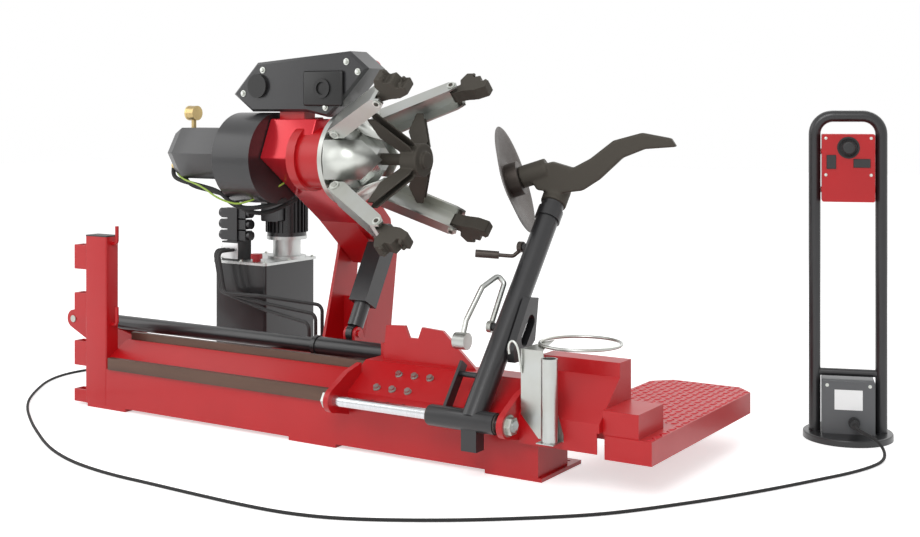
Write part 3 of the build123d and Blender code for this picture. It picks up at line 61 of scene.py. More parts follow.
SPINDLE_Z = 0.955
CASING_Z = 0.950
DISC_FACE_X = 0.048
PLATFORM_TOP = 0.170
GUARD_FRONT_Y = -0.05
JAW_HINGE = (0.095, 0.165)  # along the spindle, and out from it
JAW_TIP = (0.340, 0.308)
JAW_SIDE = 0.0452  # half the jaw arm's width, and a hair
MERGE_DISTANCE = 0.00002
STAND = Vector((1.494, 0.905, 0.0))
STAND_YAW = math.radians(19.0)
FLOOR_Z = 0.0052
CORD_POINTS = [
    (-1.039, 0.620, 0.110), (-1.088, 0.620, 0.108), (-1.136, 0.618, 0.084), (-1.178, 0.614, 0.044),
    (-1.226, 0.610, 0.016), (-1.290, 0.601, FLOOR_Z), (-1.388, 0.574, FLOOR_Z),
    (-1.480, 0.519, FLOOR_Z), (-1.560, 0.432, FLOOR_Z), (-1.608, 0.312, FLOOR_Z),
    (-1.610, 0.193, FLOOR_Z), (-1.561, 0.070, FLOOR_Z), (-1.488, -0.032, FLOOR_Z),
    (-1.401, -0.141, FLOOR_Z), (-1.321, -0.228, FLOOR_Z), (-1.215, -0.321, FLOOR_Z),
    (-1.110, -0.399, FLOOR_Z), (-0.993, -0.481, FLOOR_Z), (-0.885, -0.550, FLOOR_Z),
    (-0.778, -0.617, FLOOR_Z), (-0.656, -0.684, FLOOR_Z), (-0.521, -0.738, FLOOR_Z),
    (-0.401, -0.769, FLOOR_Z), (-0.257, -0.790, FLOOR_Z), (-0.114, -0.795, FLOOR_Z),
    (0.004, -0.802, FLOOR_Z), (0.137, -0.808, FLOOR_Z), (0.273, -0.813, FLOOR_Z),
    (0.417, -0.809, FLOOR_Z), (0.548, -0.782, FLOOR_Z), (0.655, -0.736, FLOOR_Z),
    (0.768, -0.673, FLOOR_Z), (0.876, -0.603, FLOOR_Z), (0.979, -0.525, FLOOR_Z),
    (1.090, -0.433, FLOOR_Z), (1.179, -0.347, FLOOR_Z), (1.252, -0.252, FLOOR_Z),
    (1.324, -0.144, FLOOR_Z), (1.396, -0.031, FLOOR_Z), (1.467, 0.094, FLOOR_Z),
    (1.528, 0.211, FLOOR_Z), (1.581, 0.320, FLOOR_Z), (1.634, 0.428, FLOOR_Z),
    (1.672, 0.536, FLOOR_Z), (1.686, 0.628, FLOOR_Z), (1.676, 0.696, 0.014),
    (1.646, 0.739, 0.036), (1.602, 0.752, 0.054), (1.558, 0.774, 0.062), (1.542, 0.820, 0.062),
]


# ---- materials ---------------------------------------------------------------------------------
def new_material(name, color, rough, metal=0.0, coat=0.0):
    """A material with its shader, ready for its own pattern."""
    made = bpy.data.materials.new(name)
    made.use_nodes = True
    shader = made.node_tree.nodes["Principled BSDF"]
    shader.inputs["Base Color"].default_value = (*color, 1.0)
    shader.inputs["Roughness"].default_value = rough
    shader.inputs["Metallic"].default_value = metal
    shader.inputs["Coat Weight"].default_value = coat
    shader.inputs["Coat Roughness"].default_value = 0.12
    return made, shader


def add_pattern(made, shader, color, shade, scale, rough_range, bump, stretch=(1, 1, 1)):
    """Cloudy colour, patchy roughness and a fine bump over the whole surface."""
    tree = made.node_tree
    place = tree.nodes.new("ShaderNodeTexCoord")
    mapping = tree.nodes.new("ShaderNodeMapping")
    mapping.inputs["Scale"].default_value = stretch
    cloud = tree.nodes.new("ShaderNodeTexNoise")
    cloud.inputs["Scale"].default_value = scale
    cloud.inputs["Detail"].default_value = 5.0
    grain = tree.nodes.new("ShaderNodeTexNoise")
    grain.inputs["Scale"].default_value = scale * 28
    grain.inputs["Detail"].default_value = 3.0
    tint = tree.nodes.new("ShaderNodeMix")
    tint.data_type = "RGBA"
    tint.inputs["A"].default_value = (*color, 1.0)
    tint.inputs["B"].default_value = (*shade, 1.0)
    rough = tree.nodes.new("ShaderNodeMapRange")
    rough.inputs["To Min"].default_value = rough_range[0]
    rough.inputs["To Max"].default_value = rough_range[1]
    relief = tree.nodes.new("ShaderNodeBump")
    relief.inputs["Strength"].default_value = bump
    relief.inputs["Distance"].default_value = 0.002
    link = tree.links.new
    link(place.outputs["Object"], mapping.inputs["Vector"])
    link(mapping.outputs["Vector"], cloud.inputs["Vector"])
    link(mapping.outputs["Vector"], grain.inputs["Vector"])
    link(cloud.outputs["Fac"], tint.inputs["Factor"])
    link(tint.outputs["Result"], shader.inputs["Base Color"])
    link(cloud.outputs["Fac"], rough.inputs["Value"])
    link(rough.outputs["Result"], shader.inputs["Roughness"])
    link(grain.outputs["Fac"], relief.inputs["Height"])
    link(relief.outputs["Normal"], shader.inputs["Normal"])


def finish_material(
    name, color, shade, scale, rough_range, bump, metal=0.0, coat=0.0, stretch=(1, 1, 1)
):
    """A material with its pattern. The colour and the shade are its two extremes."""
    made, shader = new_material(name, color, rough_range[0], metal, coat)
    add_pattern(made, shader, color, shade, scale, rough_range, bump, stretch)
    return made


def make_materials(paint):
    """Every finish on the machine, by the name that its pieces ask for."""
    red = tuple(paint)
    deep_red = tuple(channel * 0.78 for channel in red)
    return {
        "red_paint": finish_material("red_paint", red, deep_red, 5, (0.3, 0.44), 0.05, coat=0.12),
        "black_paint": finish_material(
            "black_paint", (0.012, 0.012, 0.013), (0.026, 0.026, 0.028), 7, (0.24, 0.42), 0.06,
            coat=0.15,
        ),
        "rail_steel": finish_material(
            "rail_steel", (0.16, 0.095, 0.07), (0.085, 0.055, 0.045), 9, (0.3, 0.55), 0.15, 0.75,
            stretch=(0.3, 3, 3),
        ),
        "zinc": finish_material(
            "zinc", (0.52, 0.55, 0.56), (0.4, 0.39, 0.33), 8, (0.2, 0.42), 0.05, 1.0
        ),
        "dark_steel": finish_material(
            "dark_steel", (0.045, 0.037, 0.033), (0.1, 0.085, 0.075), 16, (0.3, 0.6), 0.35, 0.8
        ),
        "aluminium": finish_material(
            "aluminium", (0.6, 0.61, 0.6), (0.45, 0.46, 0.45), 14, (0.32, 0.5), 0.2, 1.0
        ),
        "chrome": finish_material(
            "chrome", (0.72, 0.74, 0.76), (0.55, 0.56, 0.58), 20, (0.12, 0.24), 0.04, 1.0,
            stretch=(6, 0.3, 0.3),
        ),
        "red_plastic": finish_material(
            "red_plastic", (0.55, 0.015, 0.02), (0.4, 0.01, 0.015), 20, (0.3, 0.4), 0.08
        ),
        "black_plastic": finish_material(
            "black_plastic", (0.014, 0.014, 0.015), (0.024, 0.024, 0.025), 30, (0.42, 0.55), 0.15
        ),
        "rubber": finish_material(
            "rubber", (0.016, 0.016, 0.017), (0.03, 0.03, 0.03), 24, (0.5, 0.65), 0.12
        ),
        "brass": finish_material(
            "brass", (0.55, 0.42, 0.2), (0.4, 0.3, 0.14), 18, (0.22, 0.36), 0.06, 1.0
        ),
        "grey_paint": finish_material(
            "grey_paint", (0.13, 0.135, 0.14), (0.1, 0.104, 0.11), 12, (0.4, 0.5), 0.12
        ),
        "dial_white": finish_material(
            "dial_white", (0.75, 0.75, 0.72), (0.68, 0.68, 0.66), 20, (0.3, 0.36), 0.02
        ),
        "green_hose": finish_material(
            "green_hose", (0.35, 0.5, 0.06), (0.26, 0.4, 0.05), 24, (0.4, 0.5), 0.05
        ),
    }


def seen_rays(tree):
    """One for rays that the eye sees, straight, mirrored or through glass, and else zero."""
    ray = tree.nodes.new("ShaderNodeLightPath")
    total = ray.outputs["Is Camera Ray"]
    for kind in ("Is Glossy Ray", "Is Transmission Ray"):
        add = tree.nodes.new("ShaderNodeMath")
        add.operation = "MAXIMUM"
        tree.links.new(total, add.inputs[0])
        tree.links.new(ray.outputs[kind], add.inputs[1])
        total = add.outputs["Value"]
    return total


# ---- shaping helpers ---------------------------------------------------------------------------
def facing(direction):
    """The turn that carries +Z to this direction."""
    return Vector((0, 0, 1)).rotation_difference(Vector(direction)).to_matrix().to_4x4()


def place(spot, direction=(0, 0, 1)):
    return Matrix.Translation(Vector(spot)) @ facing(direction)


def add_hex_bolt(mesh, spot, direction, radius, height, washer=True):
    """A washer with a hexagon head on it, standing on the spot and pointing along the direction."""
    where = place(spot, direction)
    if washer:
        bmesh.ops.create_cone(
            mesh, cap_ends=True, segments=28, radius1=radius * 1.5, radius2=radius * 1.45,
            depth=height * 0.25, matrix=where @ Matrix.Translation((0, 0, height * 0.125)),
        )
    made = bmesh.ops.create_cone(
        mesh, cap_ends=True, segments=6, radius1=radius, radius2=radius * 0.94,
        depth=height * 0.8, matrix=where @ Matrix.Translation((0, 0, height * 0.62)),
    )
    edges = {edge for vert in made["verts"] for edge in vert.link_edges}
    bmesh.ops.bevel(
        mesh, geom=list(edges), offset=radius * 0.1, segments=2, affect="EDGES", profile=0.5,
        material=-1,
    )


def add_box(mesh, low, high, bevel=0.0):
    """A box between two corners, its edges rounded."""
    low = Vector(low)
    high = Vector(high)
    size = high - low
    where = Matrix.Translation((low + high) / 2) @ Matrix.Diagonal((*size, 1.0))
    made = bmesh.ops.create_cube(mesh, size=1.0, matrix=where)
    if bevel:
        edges = {edge for vert in made["verts"] for edge in vert.link_edges}
        bmesh.ops.bevel(
            mesh, geom=list(edges), offset=bevel, segments=3, affect="EDGES", profile=0.5,
            material=-1,
        )


def add_ring(mesh, spot, direction, radius, thickness, height, segments=48):
    """A flat ring standing on the spot."""
    where = place(spot, direction)
    profile = [
        (radius - thickness, 0), (radius, 0), (radius, height), (radius - thickness, height),
    ]
    verts = [mesh.verts.new(where @ Vector((x, 0, z))) for x, z in profile]
    edges = [mesh.edges.new((verts[i], verts[(i + 1) % 4])) for i in range(4)]
    axis = where.to_3x3() @ Vector((0, 0, 1))
    bmesh.ops.spin(
        mesh, geom=verts + edges, cent=Vector(spot), axis=axis, angle=math.tau, steps=segments,
        use_merge=True,
    )


def make_piece(name, mesh, material, body):
    """Turns a bmesh into a finished piece that rides on a body."""
    bmesh.ops.remove_doubles(mesh, verts=mesh.verts, dist=1e-6)
    bmesh.ops.recalc_face_normals(mesh, faces=mesh.faces)
    data = bpy.data.meshes.new(name)
    mesh.to_mesh(data)
    mesh.free()
    for face in data.polygons:
        face.use_smooth = True
    data.set_sharp_from_angle(angle=math.radians(35))
    piece = bpy.data.objects.new(name, data)
    bpy.context.scene.collection.objects.link(piece)
    data.materials.append(material)
    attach(piece, body)
    return piece


def make_hose(name, points, radius, material, body):
    """A round hose along a smooth line through its control points."""
    data = bpy.data.curves.new(name, "CURVE")
    data.dimensions = "3D"
    data.bevel_depth = radius
    data.bevel_resolution = 5
    data.use_fill_caps = True
    spline = data.splines.new("NURBS")
    spline.points.add(len(points) - 1)
    for point, spot in zip(spline.points, points):
        point.co = (*spot, 1.0)
    spline.use_endpoint_u = True
    spline.order_u = 3
    spline.resolution_u = 8
    data.materials.append(material)
    piece = bpy.data.objects.new(name, data)
    bpy.context.scene.collection.objects.link(piece)
    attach(piece, body)
    return piece


def stand_point(across, up, out=0.0):
    """A point of the control stand: across its width, up, and out towards the operator."""
    width = Vector((math.cos(STAND_YAW), math.sin(STAND_YAW), 0))
    outward = Vector((math.sin(STAND_YAW), -math.cos(STAND_YAW), 0))
    return STAND + width * across + outward * out + Vector((0, 0, up))


STAND_OUT = (math.sin(STAND_YAW), -math.cos(STAND_YAW), 0)


# ---- settings ----------------------------------------------------------------------------------
class TyreChangerFinish(bpy.types.PropertyGroup):
    paint: bpy.props.FloatVectorProperty(
        name="Paint", description="Colour of the machine's paint", subtype="COLOR", size=3,
        default=(0.56, 0.004, 0.008), min=0.0, max=1.0,
    )
    tread_pitch: bpy.props.FloatProperty(
        name="Tread pitch", description="Distance between the platform's tread bumps",
        default=0.026, min=0.015, max=0.08, unit="LENGTH",
    )
    casing_bolts: bpy.props.IntProperty(
        name="Casing bolts", description="Number of bolts round the gearbox casing",
        default=14, min=4, max=32,
    )
    lamp_power: bpy.props.FloatProperty(
        name="Lamp power", description="Power of the main lamp", default=135.0, min=1.0, max=2000.0,
    )


def settings():
    return bpy.context.scene.tyre_changer


def material(name):
    return bpy.data.materials[name]


class TYRE_OT_stage(bpy.types.Operator):
    """Camera, floor and soft studio light"""

    bl_idname = "tyre.stage"
    bl_label = "Stage"

    def execute(self, context):
        scene = context.scene
        camera_data = bpy.data.cameras.new("camera")
        camera_data.lens = 52.3
        camera_data.sensor_width = 36.0
        camera_data.shift_y = -0.172
        camera_data.clip_end = 60.0
        camera = bpy.data.objects.new("camera", camera_data)
        camera.location = (2.818, -3.676, 1.12)
        camera.rotation_euler = (math.radians(90), 0, math.radians(32.3))
        scene.collection.objects.link(camera)
        scene.camera = camera
        mesh = bmesh.new()
        bmesh.ops.create_grid(mesh, x_segments=1, y_segments=1, size=20.0)
        data = bpy.data.meshes.new("floor")
        mesh.to_mesh(data)
        mesh.free()
        floor = bpy.data.objects.new("floor", data)
        floor.location = (0, 0, -0.0005)
        scene.collection.objects.link(floor)
        made, shader = new_material("floor", (0.86, 0.86, 0.86), 0.7)
        seen = seen_rays(made.node_tree)
        glow = made.node_tree.nodes.new("ShaderNodeMath")
        glow.operation = "MULTIPLY"
        glow.inputs[1].default_value = 0.58
        made.node_tree.links.new(seen, glow.inputs[0])
        made.node_tree.links.new(glow.outputs["Value"], shader.inputs["Emission Strength"])
        shader.inputs["Emission Color"].default_value = (1, 1, 1, 1)
        data.materials.append(made)
        world = bpy.data.worlds.new("world")
        world.use_nodes = True
        tree = world.node_tree
        background = tree.nodes["Background"]
        background.inputs["Color"].default_value = (1, 1, 1, 1)
        strength = tree.nodes.new("ShaderNodeMapRange")
        strength.inputs["To Min"].default_value = 0.5
        strength.inputs["To Max"].default_value = 1.0
        tree.links.new(seen_rays(tree), strength.inputs["Value"])
        tree.links.new(strength.outputs["Result"], background.inputs["Strength"])
        scene.world = world
        power = settings().lamp_power
        for name, spot, size, share in (
            ("key_lamp", (1.6, -4.2, 4.2), 3.0, 1.0),
            ("fill_lamp", (-4.0, -2.4, 2.6), 3.5, 0.45),
            ("back_lamp", (1.0, 4.6, 3.6), 3.0, 0.5),
        ):
            lamp_data = bpy.data.lights.new(name, "AREA")
            lamp_data.energy = power * share
            lamp_data.size = size
            lamp = bpy.data.objects.new(name, lamp_data)
            lamp.location = spot
            aim = Vector((0.2, 0.1, 0.5)) - Vector(spot)
            lamp.rotation_euler = aim.to_track_quat("-Z", "Y").to_euler()
            scene.collection.objects.link(lamp)
        scene.view_settings.view_transform = "Standard"
        return {"FINISHED"}


class TYRE_OT_finishes(bpy.types.Operator):
    """Procedural finish on every carried-over part"""

    bl_idname = "tyre.finishes"
    bl_label = "Finishes"

    def execute(self, context):
        made = make_materials(settings().paint)
        slots = {row["node"]: row["material_slot"] for row in frame["record"]["subparts"]}
        for node, piece in nodes.items():
            piece.data.materials.clear()
            piece.data.materials.append(made[slots[node]])
            for face in piece.data.polygons:
                face.use_smooth = True
                face.material_index = 0
            weld = piece.modifiers.new("weld", "WELD")
            weld.merge_threshold = MERGE_DISTANCE
            split = piece.modifiers.new("creases", "EDGE_SPLIT")
            split.split_angle = math.radians(32)
        return {"FINISHED"}


class TYRE_OT_control_cable(bpy.types.Operator):
    """The cable on the floor between the power unit and the control stand"""

    bl_idname = "tyre.control_cable"
    bl_label = "Control cable"

    def execute(self, context):
        cable = make_hose("control_cable", CORD_POINTS, 0.005, material("rubber"), "base")
        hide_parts("control_cord")
        return {"FINISHED"}


class TYRE_OT_platform_tread(bpy.types.Operator):
    """Raised lozenges of the tread plate, each row turned against the next"""

    bl_idname = "tyre.platform_tread"
    bl_label = "Platform tread"

    def execute(self, context):
        low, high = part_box("platform_plate")
        pitch = settings().tread_pitch
        mesh = bmesh.new()
        columns = int((high.x - low.x) / pitch)
        rows = int((high.y - low.y) / pitch)
        for column in range(columns):
            for row in range(rows):
                x = low.x + pitch * (column + 0.6)
                y = low.y + pitch * (row + 0.6)
                if x > high.x - 0.012 or y > high.y - 0.012:
                    continue
                if y < 0.076 and x < 1.204:
                    continue
                if y > 0.64 and (x - 0.886 < y - 0.65 or 1.228 - x < y - 0.65):
                    continue
                turn = 45 if (row + column) % 2 else -45
                where = (
                    Matrix.Translation((x, y, PLATFORM_TOP))
                    @ Matrix.Rotation(math.radians(turn), 4, "Z")
                    @ Matrix.Diagonal((2.9, 1.0, 1.0, 1.0))
                )
                bmesh.ops.create_cone(
                    mesh, cap_ends=True, segments=8, radius1=0.0042, radius2=0.0022,
                    depth=0.0026, matrix=where @ Matrix.Translation((0, 0, 0.0013)),
                )
        make_piece("platform_tread", mesh, material("red_paint"), "carriage")
        return {"FINISHED"}


class TYRE_OT_gearbox_fasteners(bpy.types.Operator):
    """Rim and bolts of the gearbox casing, bolts and plates of the belt guard"""

    bl_idname = "tyre.gearbox_fasteners"
    bl_label = "Gearbox fasteners"

    def execute(self, context):
        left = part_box("gearbox_casing")[0].x
        mesh = bmesh.new()
        add_ring(mesh, (left - 0.0035, 0, CASING_Z), (1, 0, 0), 0.148, 0.034, 0.008)
        make_piece("casing_rim", mesh, material("black_paint"), "chuck_arm")
        count = settings().casing_bolts
        mesh = bmesh.new()
        for turn in range(count):
            angle = math.tau * turn / count
            spot = (left - 0.0035, math.cos(angle) * 0.131, CASING_Z + math.sin(angle) * 0.131)
            add_hex_bolt(mesh, spot, (-1, 0, 0), 0.0075, 0.008)
        for x, z in ((-0.39, 1.18), (-0.30, 1.262), (0.07, 1.285), (0.118, 1.25), (-0.02, 1.13)):
            add_hex_bolt(mesh, (x, GUARD_FRONT_Y, z), (0, -1, 0), 0.008, 0.008)
        make_piece("casing_bolts", mesh, material("zinc"), "chuck_arm")
        mesh = bmesh.new()
        add_box(mesh, (-0.11, -0.062, 1.135), (0.06, -0.05, 1.255), 0.008)
        add_ring(mesh, (-0.319, -0.05, 1.206), (0, -1, 0), 0.042, 0.042, 0.012)
        add_ring(mesh, (-0.025, -0.062, 1.195), (0, -1, 0), 0.034, 0.012, 0.006)
        make_piece("guard_plates", mesh, material("black_paint"), "chuck_arm")
        return {"FINISHED"}


class TYRE_OT_gauge_and_fittings(bpy.types.Operator):
    """Dial and bezel of the pressure gauge, hose fittings at the end of the cylinder cover"""

    bl_idname = "tyre.gauge_and_fittings"
    bl_label = "Gauge and fittings"

    def execute(self, context):
        low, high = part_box("pressure_gauge")
        centre_y = (low.y + high.y) / 2
        centre_z = high.z - 0.027
        mesh = bmesh.new()
        add_ring(mesh, (low.x - 0.004, centre_y, centre_z), (1, 0, 0), 0.0275, 0.005, 0.008)
        make_piece("gauge_bezel", mesh, material("brass"), "chuck_arm")
        mesh = bmesh.new()
        add_ring(mesh, (low.x - 0.001, centre_y, centre_z), (1, 0, 0), 0.0228, 0.0226, 0.001)
        make_piece("gauge_dial", mesh, material("dial_white"), "chuck_arm")
        mesh = bmesh.new()
        for turn in range(9):
            angle = math.radians(-40 + turn * 32.5)
            spot = Vector((low.x - 0.0014, centre_y, centre_z))
            spot += Vector((0, math.cos(angle), math.sin(angle))) * 0.018
            half = Vector((0.0004, 0.0008, 0.0008))
            add_box(mesh, spot - half, spot + half)
        make_piece("gauge_marks", mesh, material("black_plastic"), "chuck_arm")
        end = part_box("chuck_cylinder_cover")[0].x
        mesh = bmesh.new()
        for y, z in ((-0.03, 0.915), (0.03, 0.915), (0.0, 0.968)):
            add_hex_bolt(mesh, (end, y, z), (-1, 0, 0), 0.014, 0.020, washer=False)
        make_piece("cover_fittings", mesh, material("brass"), "chuck_arm")
        return {"FINISHED"}


class TYRE_OT_chuck_hoses(bpy.types.Operator):
    """Hoses clipped under the cylinder cover and the gearbox, with one thin green wire"""

    bl_idname = "tyre.chuck_hoses"
    bl_label = "Chuck hoses"

    def execute(self, context):
        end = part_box("chuck_cylinder_cover")[0].x
        for index, (y, z, drop) in enumerate(((-0.03, 0.915, 0.0), (0.03, 0.915, 0.022))):
            points = (
                (end - 0.016, y, z), (end - 0.026, y, z - 0.03),
                (end + 0.02, y - 0.02, 0.862 - drop),
                (end + 0.14, y - 0.03, 0.846 - drop), (-0.47, y - 0.05, 0.828 - drop),
                (-0.40, y - 0.06, 0.776 - drop), (-0.30, y - 0.03, 0.772 - drop),
                (-0.262, y + 0.06, 0.80),
            )
            name = f"chuck_hose_{index + 1}"
            make_hose(name, points, 0.008, material("rubber"), "chuck_arm")
        points = (
            (end - 0.016, 0.0, 0.968), (end - 0.03, -0.01, 0.94), (end + 0.02, -0.05, 0.87),
            (-0.56, -0.09, 0.850), (-0.44, -0.12, 0.800), (-0.33, -0.10, 0.782),
            (-0.262, 0.02, 0.86),
        )
        make_hose("earth_wire", points, 0.0035, material("green_hose"), "chuck_arm")
        return {"FINISHED"}


class TYRE_OT_chuck_details(bpy.types.Operator):
    """Bolts of the chuck disc, shields between the jaws, pin washers and claw teeth"""

    bl_idname = "tyre.chuck_details"
    bl_label = "Chuck details"

    def execute(self, context):
        mesh = bmesh.new()
        for turn in range(12):
            angle = math.tau * (turn + 0.5) / 12
            if abs(math.sin(2 * angle)) > 0.93:
                continue
            spot = (DISC_FACE_X, math.cos(angle) * 0.146, SPINDLE_Z + math.sin(angle) * 0.146)
            add_hex_bolt(mesh, spot, (1, 0, 0), 0.007, 0.008, washer=False)
        make_piece("disc_bolts", mesh, material("zinc"), "chuck")
        mesh = bmesh.new()
        for turn in range(4):
            angle = math.radians(90 * turn)
            outward = Vector((0, math.cos(angle), math.sin(angle)))
            across = Vector((0, -math.sin(angle), math.cos(angle)))
            centre = Vector((0, 0, SPINDLE_Z))
            corners = [
                centre + Vector((x, 0, 0)) + outward * reach + across * side
                for x, reach, side in (
                    (0.050, 0.152, -0.066), (0.052, 0.152, 0.066), (0.160, 0.086, 0.066),
                    (0.222, 0.054, 0.0), (0.160, 0.086, -0.066),
                )
            ]
            verts = [mesh.verts.new(corner) for corner in corners]
            ridge = mesh.verts.new(centre + Vector((0.052, 0, 0)) + outward * 0.160)
            mesh.faces.new((verts[0], ridge, verts[3], verts[4]))
            mesh.faces.new((ridge, verts[1], verts[2], verts[3]))
        shields = make_piece("chuck_shields", mesh, material("zinc"), "chuck")
        wall = shields.modifiers.new("wall", "SOLIDIFY")
        wall.thickness = 0.004
        for number in range(1, 5):
            angle = math.radians(45 + 90 * (number - 1))
            outward = Vector((0, -math.sin(angle), math.cos(angle)))
            across = Vector((0, math.cos(angle), math.sin(angle)))
            mesh = bmesh.new()
            for (x, reach), radius in ((JAW_HINGE, 0.017), (JAW_TIP, 0.014)):
                hub = Vector((x, 0, SPINDLE_Z)) + outward * reach
                for side in (-1, 1):
                    add_ring(
                        mesh, hub + across * side * JAW_SIDE, across * side, radius, 0.016, 0.004,
                        segments=24,
                    )
            make_piece(f"jaw_washers_{number}", mesh, material("zinc"), f"jaw_{number}")
            mesh = bmesh.new()
            for along, lift in ((0.382, 0.3965), (0.442, 0.366), (0.352, 0.372)):
                for side in (-0.014, 0.014):
                    spot = Vector((along, 0, SPINDLE_Z)) + outward * lift + across * side
                    bmesh.ops.create_cone(
                        mesh, cap_ends=True, segments=10, radius1=0.009, radius2=0.005,
                        depth=0.012, matrix=place(spot - outward * 0.006, outward),
                    )
            make_piece(
                f"claw_teeth_{number}", mesh, material("dark_steel"), f"jaw_{number}"
            )
        return {"FINISHED"}


class TYRE_OT_castings(bpy.types.Operator):
    """Soft-edged cast and forged shapes: the mounting hook, the claws and the crosshead"""

    bl_idname = "tyre.castings"
    bl_label = "Castings"

    def execute(self, context):
        for node, body, voxel, rounds in (
            ("tool_head", "tool_head", 0.0032, 14),
            ("crosshead", "crosshead", 0.0026, 7),
            ("claw_1", "jaw_1", 0.0018, 5),
            ("claw_2", "jaw_2", 0.0018, 5),
            ("claw_3", "jaw_3", 0.0018, 5),
            ("claw_4", "jaw_4", 0.0018, 5),
        ):
            mesh = bmesh.new()
            mesh.from_mesh(nodes[node].data)
            bmesh.ops.remove_doubles(mesh, verts=mesh.verts, dist=MERGE_DISTANCE)
            piece = make_piece(f"{node}_casting", mesh, material("dark_steel"), body)
            remesh = piece.modifiers.new("skin", "REMESH")
            remesh.mode = "VOXEL"
            remesh.voxel_size = voxel
            remesh.use_smooth_shade = True
            smooth = piece.modifiers.new("soften", "SMOOTH")
            smooth.factor = 0.5
            smooth.iterations = rounds
            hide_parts(node)
        return {"FINISHED"}


class TYRE_OT_arm_box(bpy.types.Operator):
    """Welded box round the spindle at the top of the chuck arm"""

    bl_idname = "tyre.arm_box"
    bl_label = "Arm box"

    def execute(self, context):
        mesh = bmesh.new()
        outline = (
            (-0.104, 0.953), (-0.046, 1.090), (0.046, 1.090), (0.120, 1.030), (0.236, 0.760),
            (0.236, 0.708),
        )
        left, right = -0.2685, -0.062
        face = mesh.faces.new([mesh.verts.new((left, y, z)) for y, z in outline])
        made = bmesh.ops.extrude_face_region(mesh, geom=[face])
        moved = [item for item in made["geom"] if isinstance(item, bmesh.types.BMVert)]
        bmesh.ops.translate(mesh, verts=moved, vec=(right - left, 0, 0))
        bmesh.ops.recalc_face_normals(mesh, faces=mesh.faces)
        bmesh.ops.bevel(
            mesh, geom=mesh.edges[:], offset=0.005, segments=3, affect="EDGES", profile=0.5,
            material=-1,
        )
        make_piece("arm_box", mesh, material("red_paint"), "chuck_arm")
        return {"FINISHED"}


class TYRE_OT_power_unit_details(bpy.types.Operator):
    """Lid screws, nuts of the coils, and the aluminium face of the valve block"""

    bl_idname = "tyre.power_unit_details"
    bl_label = "Power unit details"

    def execute(self, context):
        low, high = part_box("tank_lid")
        mesh = bmesh.new()
        for x in (low.x + 0.016, (low.x + high.x) / 2, high.x - 0.016):
            for y in (low.y + 0.016, (low.y + high.y) / 2, high.y - 0.016):
                if abs(x - (low.x + high.x) / 2) > 0.01 or abs(y - (low.y + high.y) / 2) > 0.01:
                    add_hex_bolt(mesh, (x, y, high.z), (0, 0, 1), 0.0065, 0.007)
        make_piece("lid_screws", mesh, material("zinc"), "base")
        low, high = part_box("valve_bank")
        middle_y = (low.y + high.y) / 2
        mesh = bmesh.new()
        for row in range(3):
            height = 0.578 + 0.046 * (row + 0.5)
            add_ring(mesh, (low.x - 0.006, middle_y, height), (1, 0, 0), 0.013, 0.0128, 0.006, 24)
        make_piece("coil_nuts", mesh, material("aluminium"), "base")
        mesh = bmesh.new()
        add_box(mesh, (low.x + 0.036, low.y - 0.004, 0.506), (high.x - 0.036, low.y, 0.572), 0.0015)
        make_piece("valve_block_face", mesh, material("aluminium"), "base")
        return {"FINISHED"}


class TYRE_OT_stand_details(bpy.types.Operator):
    """Bezel of the joystick, screws of the boxes, bare plate on the junction box"""

    bl_idname = "tyre.stand_details"
    bl_label = "Stand details"

    def execute(self, context):
        mesh = bmesh.new()
        add_ring(mesh, stand_point(0, 0.993, 0.042), STAND_OUT, 0.037, 0.006, 0.003)
        make_piece("joystick_bezel", mesh, material("black_plastic"), "base")
        mesh = bmesh.new()
        for across, up in ((-0.074, 0.90), (0.074, 0.90), (-0.074, 1.025), (0.074, 1.025)):
            add_hex_bolt(mesh, stand_point(across, up, 0.042), STAND_OUT, 0.0035, 0.004)
        for across in (-0.07, 0.07):
            add_hex_bolt(mesh, stand_point(across, 0.186, 0.052), STAND_OUT, 0.004, 0.004)
        make_piece("stand_screws", mesh, material("zinc"), "base")
        mesh = bmesh.new()
        width = Vector((math.cos(STAND_YAW), math.sin(STAND_YAW), 0)) * 0.046
        centre = stand_point(0.0, 0.138, 0.0526)
        rise = Vector((0, 0, 0.034))
        verts = [
            mesh.verts.new(centre + width * a + rise * b)
            for a, b in ((-1, -1), (1, -1), (1, 1), (-1, 1))
        ]
        mesh.faces.new(verts)
        made = bmesh.ops.extrude_face_region(mesh, geom=mesh.faces[:])
        moved = [item for item in made["geom"] if isinstance(item, bmesh.types.BMVert)]
        bmesh.ops.translate(mesh, verts=moved, vec=Vector(STAND_OUT) * 0.001)
        make_piece("junction_plate", mesh, material("aluminium"), "base")
        return {"FINISHED"}


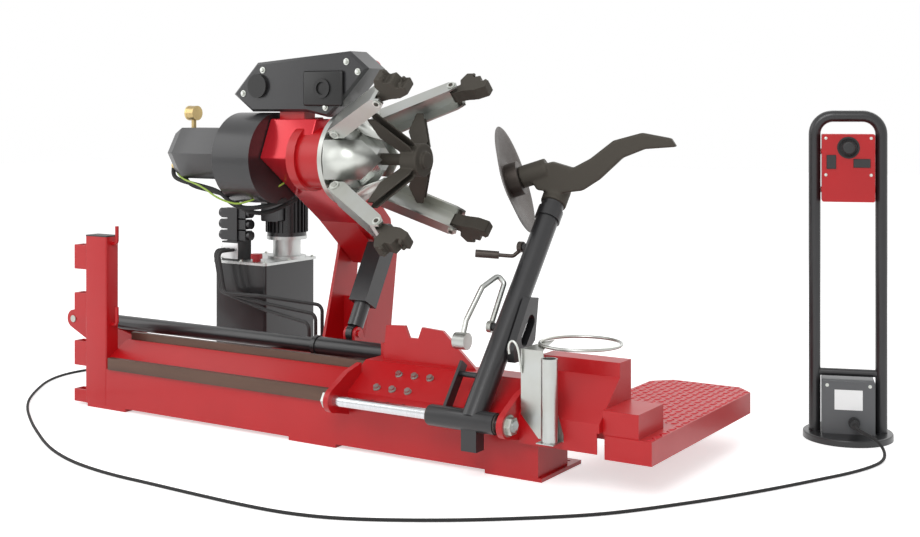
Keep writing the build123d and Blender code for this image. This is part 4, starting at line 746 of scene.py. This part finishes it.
class TYRE_OT_carriage_details(bpy.types.Operator):
    """Black studs under the pivot shaft and the small hook beside the bucket ring"""

    bl_idname = "tyre.carriage_details"
    bl_label = "Carriage details"

    def execute(self, context):
        front = -0.1663
        mesh = bmesh.new()
        for turn in range(3):
            add_hex_bolt(mesh, (0.264 + 0.061 * turn, front, 0.168), (0, -1, 0), 0.009, 0.012)
        make_piece("shaft_studs", mesh, material("dark_steel"), "carriage")
        points = (
            (0.826, -0.177, 0.33), (0.826, -0.186, 0.36), (0.820, -0.19, 0.41),
            (0.800, -0.19, 0.43),
            (0.785, -0.19, 0.41), (0.790, -0.19, 0.385),
        )
        make_hose("bucket_hook", points, 0.0035, material("zinc"), "carriage")
        return {"FINISHED"}


class TYRE_PT_panel(bpy.types.Panel):
    """Lists the machine's steps and settings"""

    bl_label = "Truck Tyre Changer"
    bl_idname = "TYRE_PT_panel"
    bl_space_type = "VIEW_3D"
    bl_region_type = "UI"
    bl_category = "Tyre Changer"

    def draw(self, context):
        for name in ("paint", "tread_pitch", "casing_bolts", "lamp_power"):
            self.layout.prop(context.scene.tyre_changer, name)
        for step in OPERATORS:
            self.layout.operator(step.bl_idname)


OPERATORS = (
    TYRE_OT_stage,
    TYRE_OT_finishes,
    TYRE_OT_control_cable,
    TYRE_OT_platform_tread,
    TYRE_OT_gearbox_fasteners,
    TYRE_OT_gauge_and_fittings,
    TYRE_OT_chuck_hoses,
    TYRE_OT_chuck_details,
    TYRE_OT_castings,
    TYRE_OT_arm_box,
    TYRE_OT_power_unit_details,
    TYRE_OT_stand_details,
    TYRE_OT_carriage_details,
)
CLASSES = (TyreChangerFinish, *OPERATORS, TYRE_PT_panel)


def register():
    for item in CLASSES:
        bpy.utils.register_class(item)
    bpy.types.Scene.tyre_changer = bpy.props.PointerProperty(type=TyreChangerFinish)


def unregister():
    del bpy.types.Scene.tyre_changer
    for item in reversed(CLASSES):
        bpy.utils.unregister_class(item)


def main():
    register()
    bpy.ops.tyre.stage()
    bpy.ops.tyre.finishes()
    bpy.ops.tyre.control_cable()
    bpy.ops.tyre.platform_tread()
    bpy.ops.tyre.gearbox_fasteners()
    bpy.ops.tyre.gauge_and_fittings()
    bpy.ops.tyre.chuck_hoses()
    bpy.ops.tyre.chuck_details()
    bpy.ops.tyre.castings()
    bpy.ops.tyre.arm_box()
    bpy.ops.tyre.power_unit_details()
    bpy.ops.tyre.stand_details()
    bpy.ops.tyre.carriage_details()


if __name__ == "__main__":
    main()
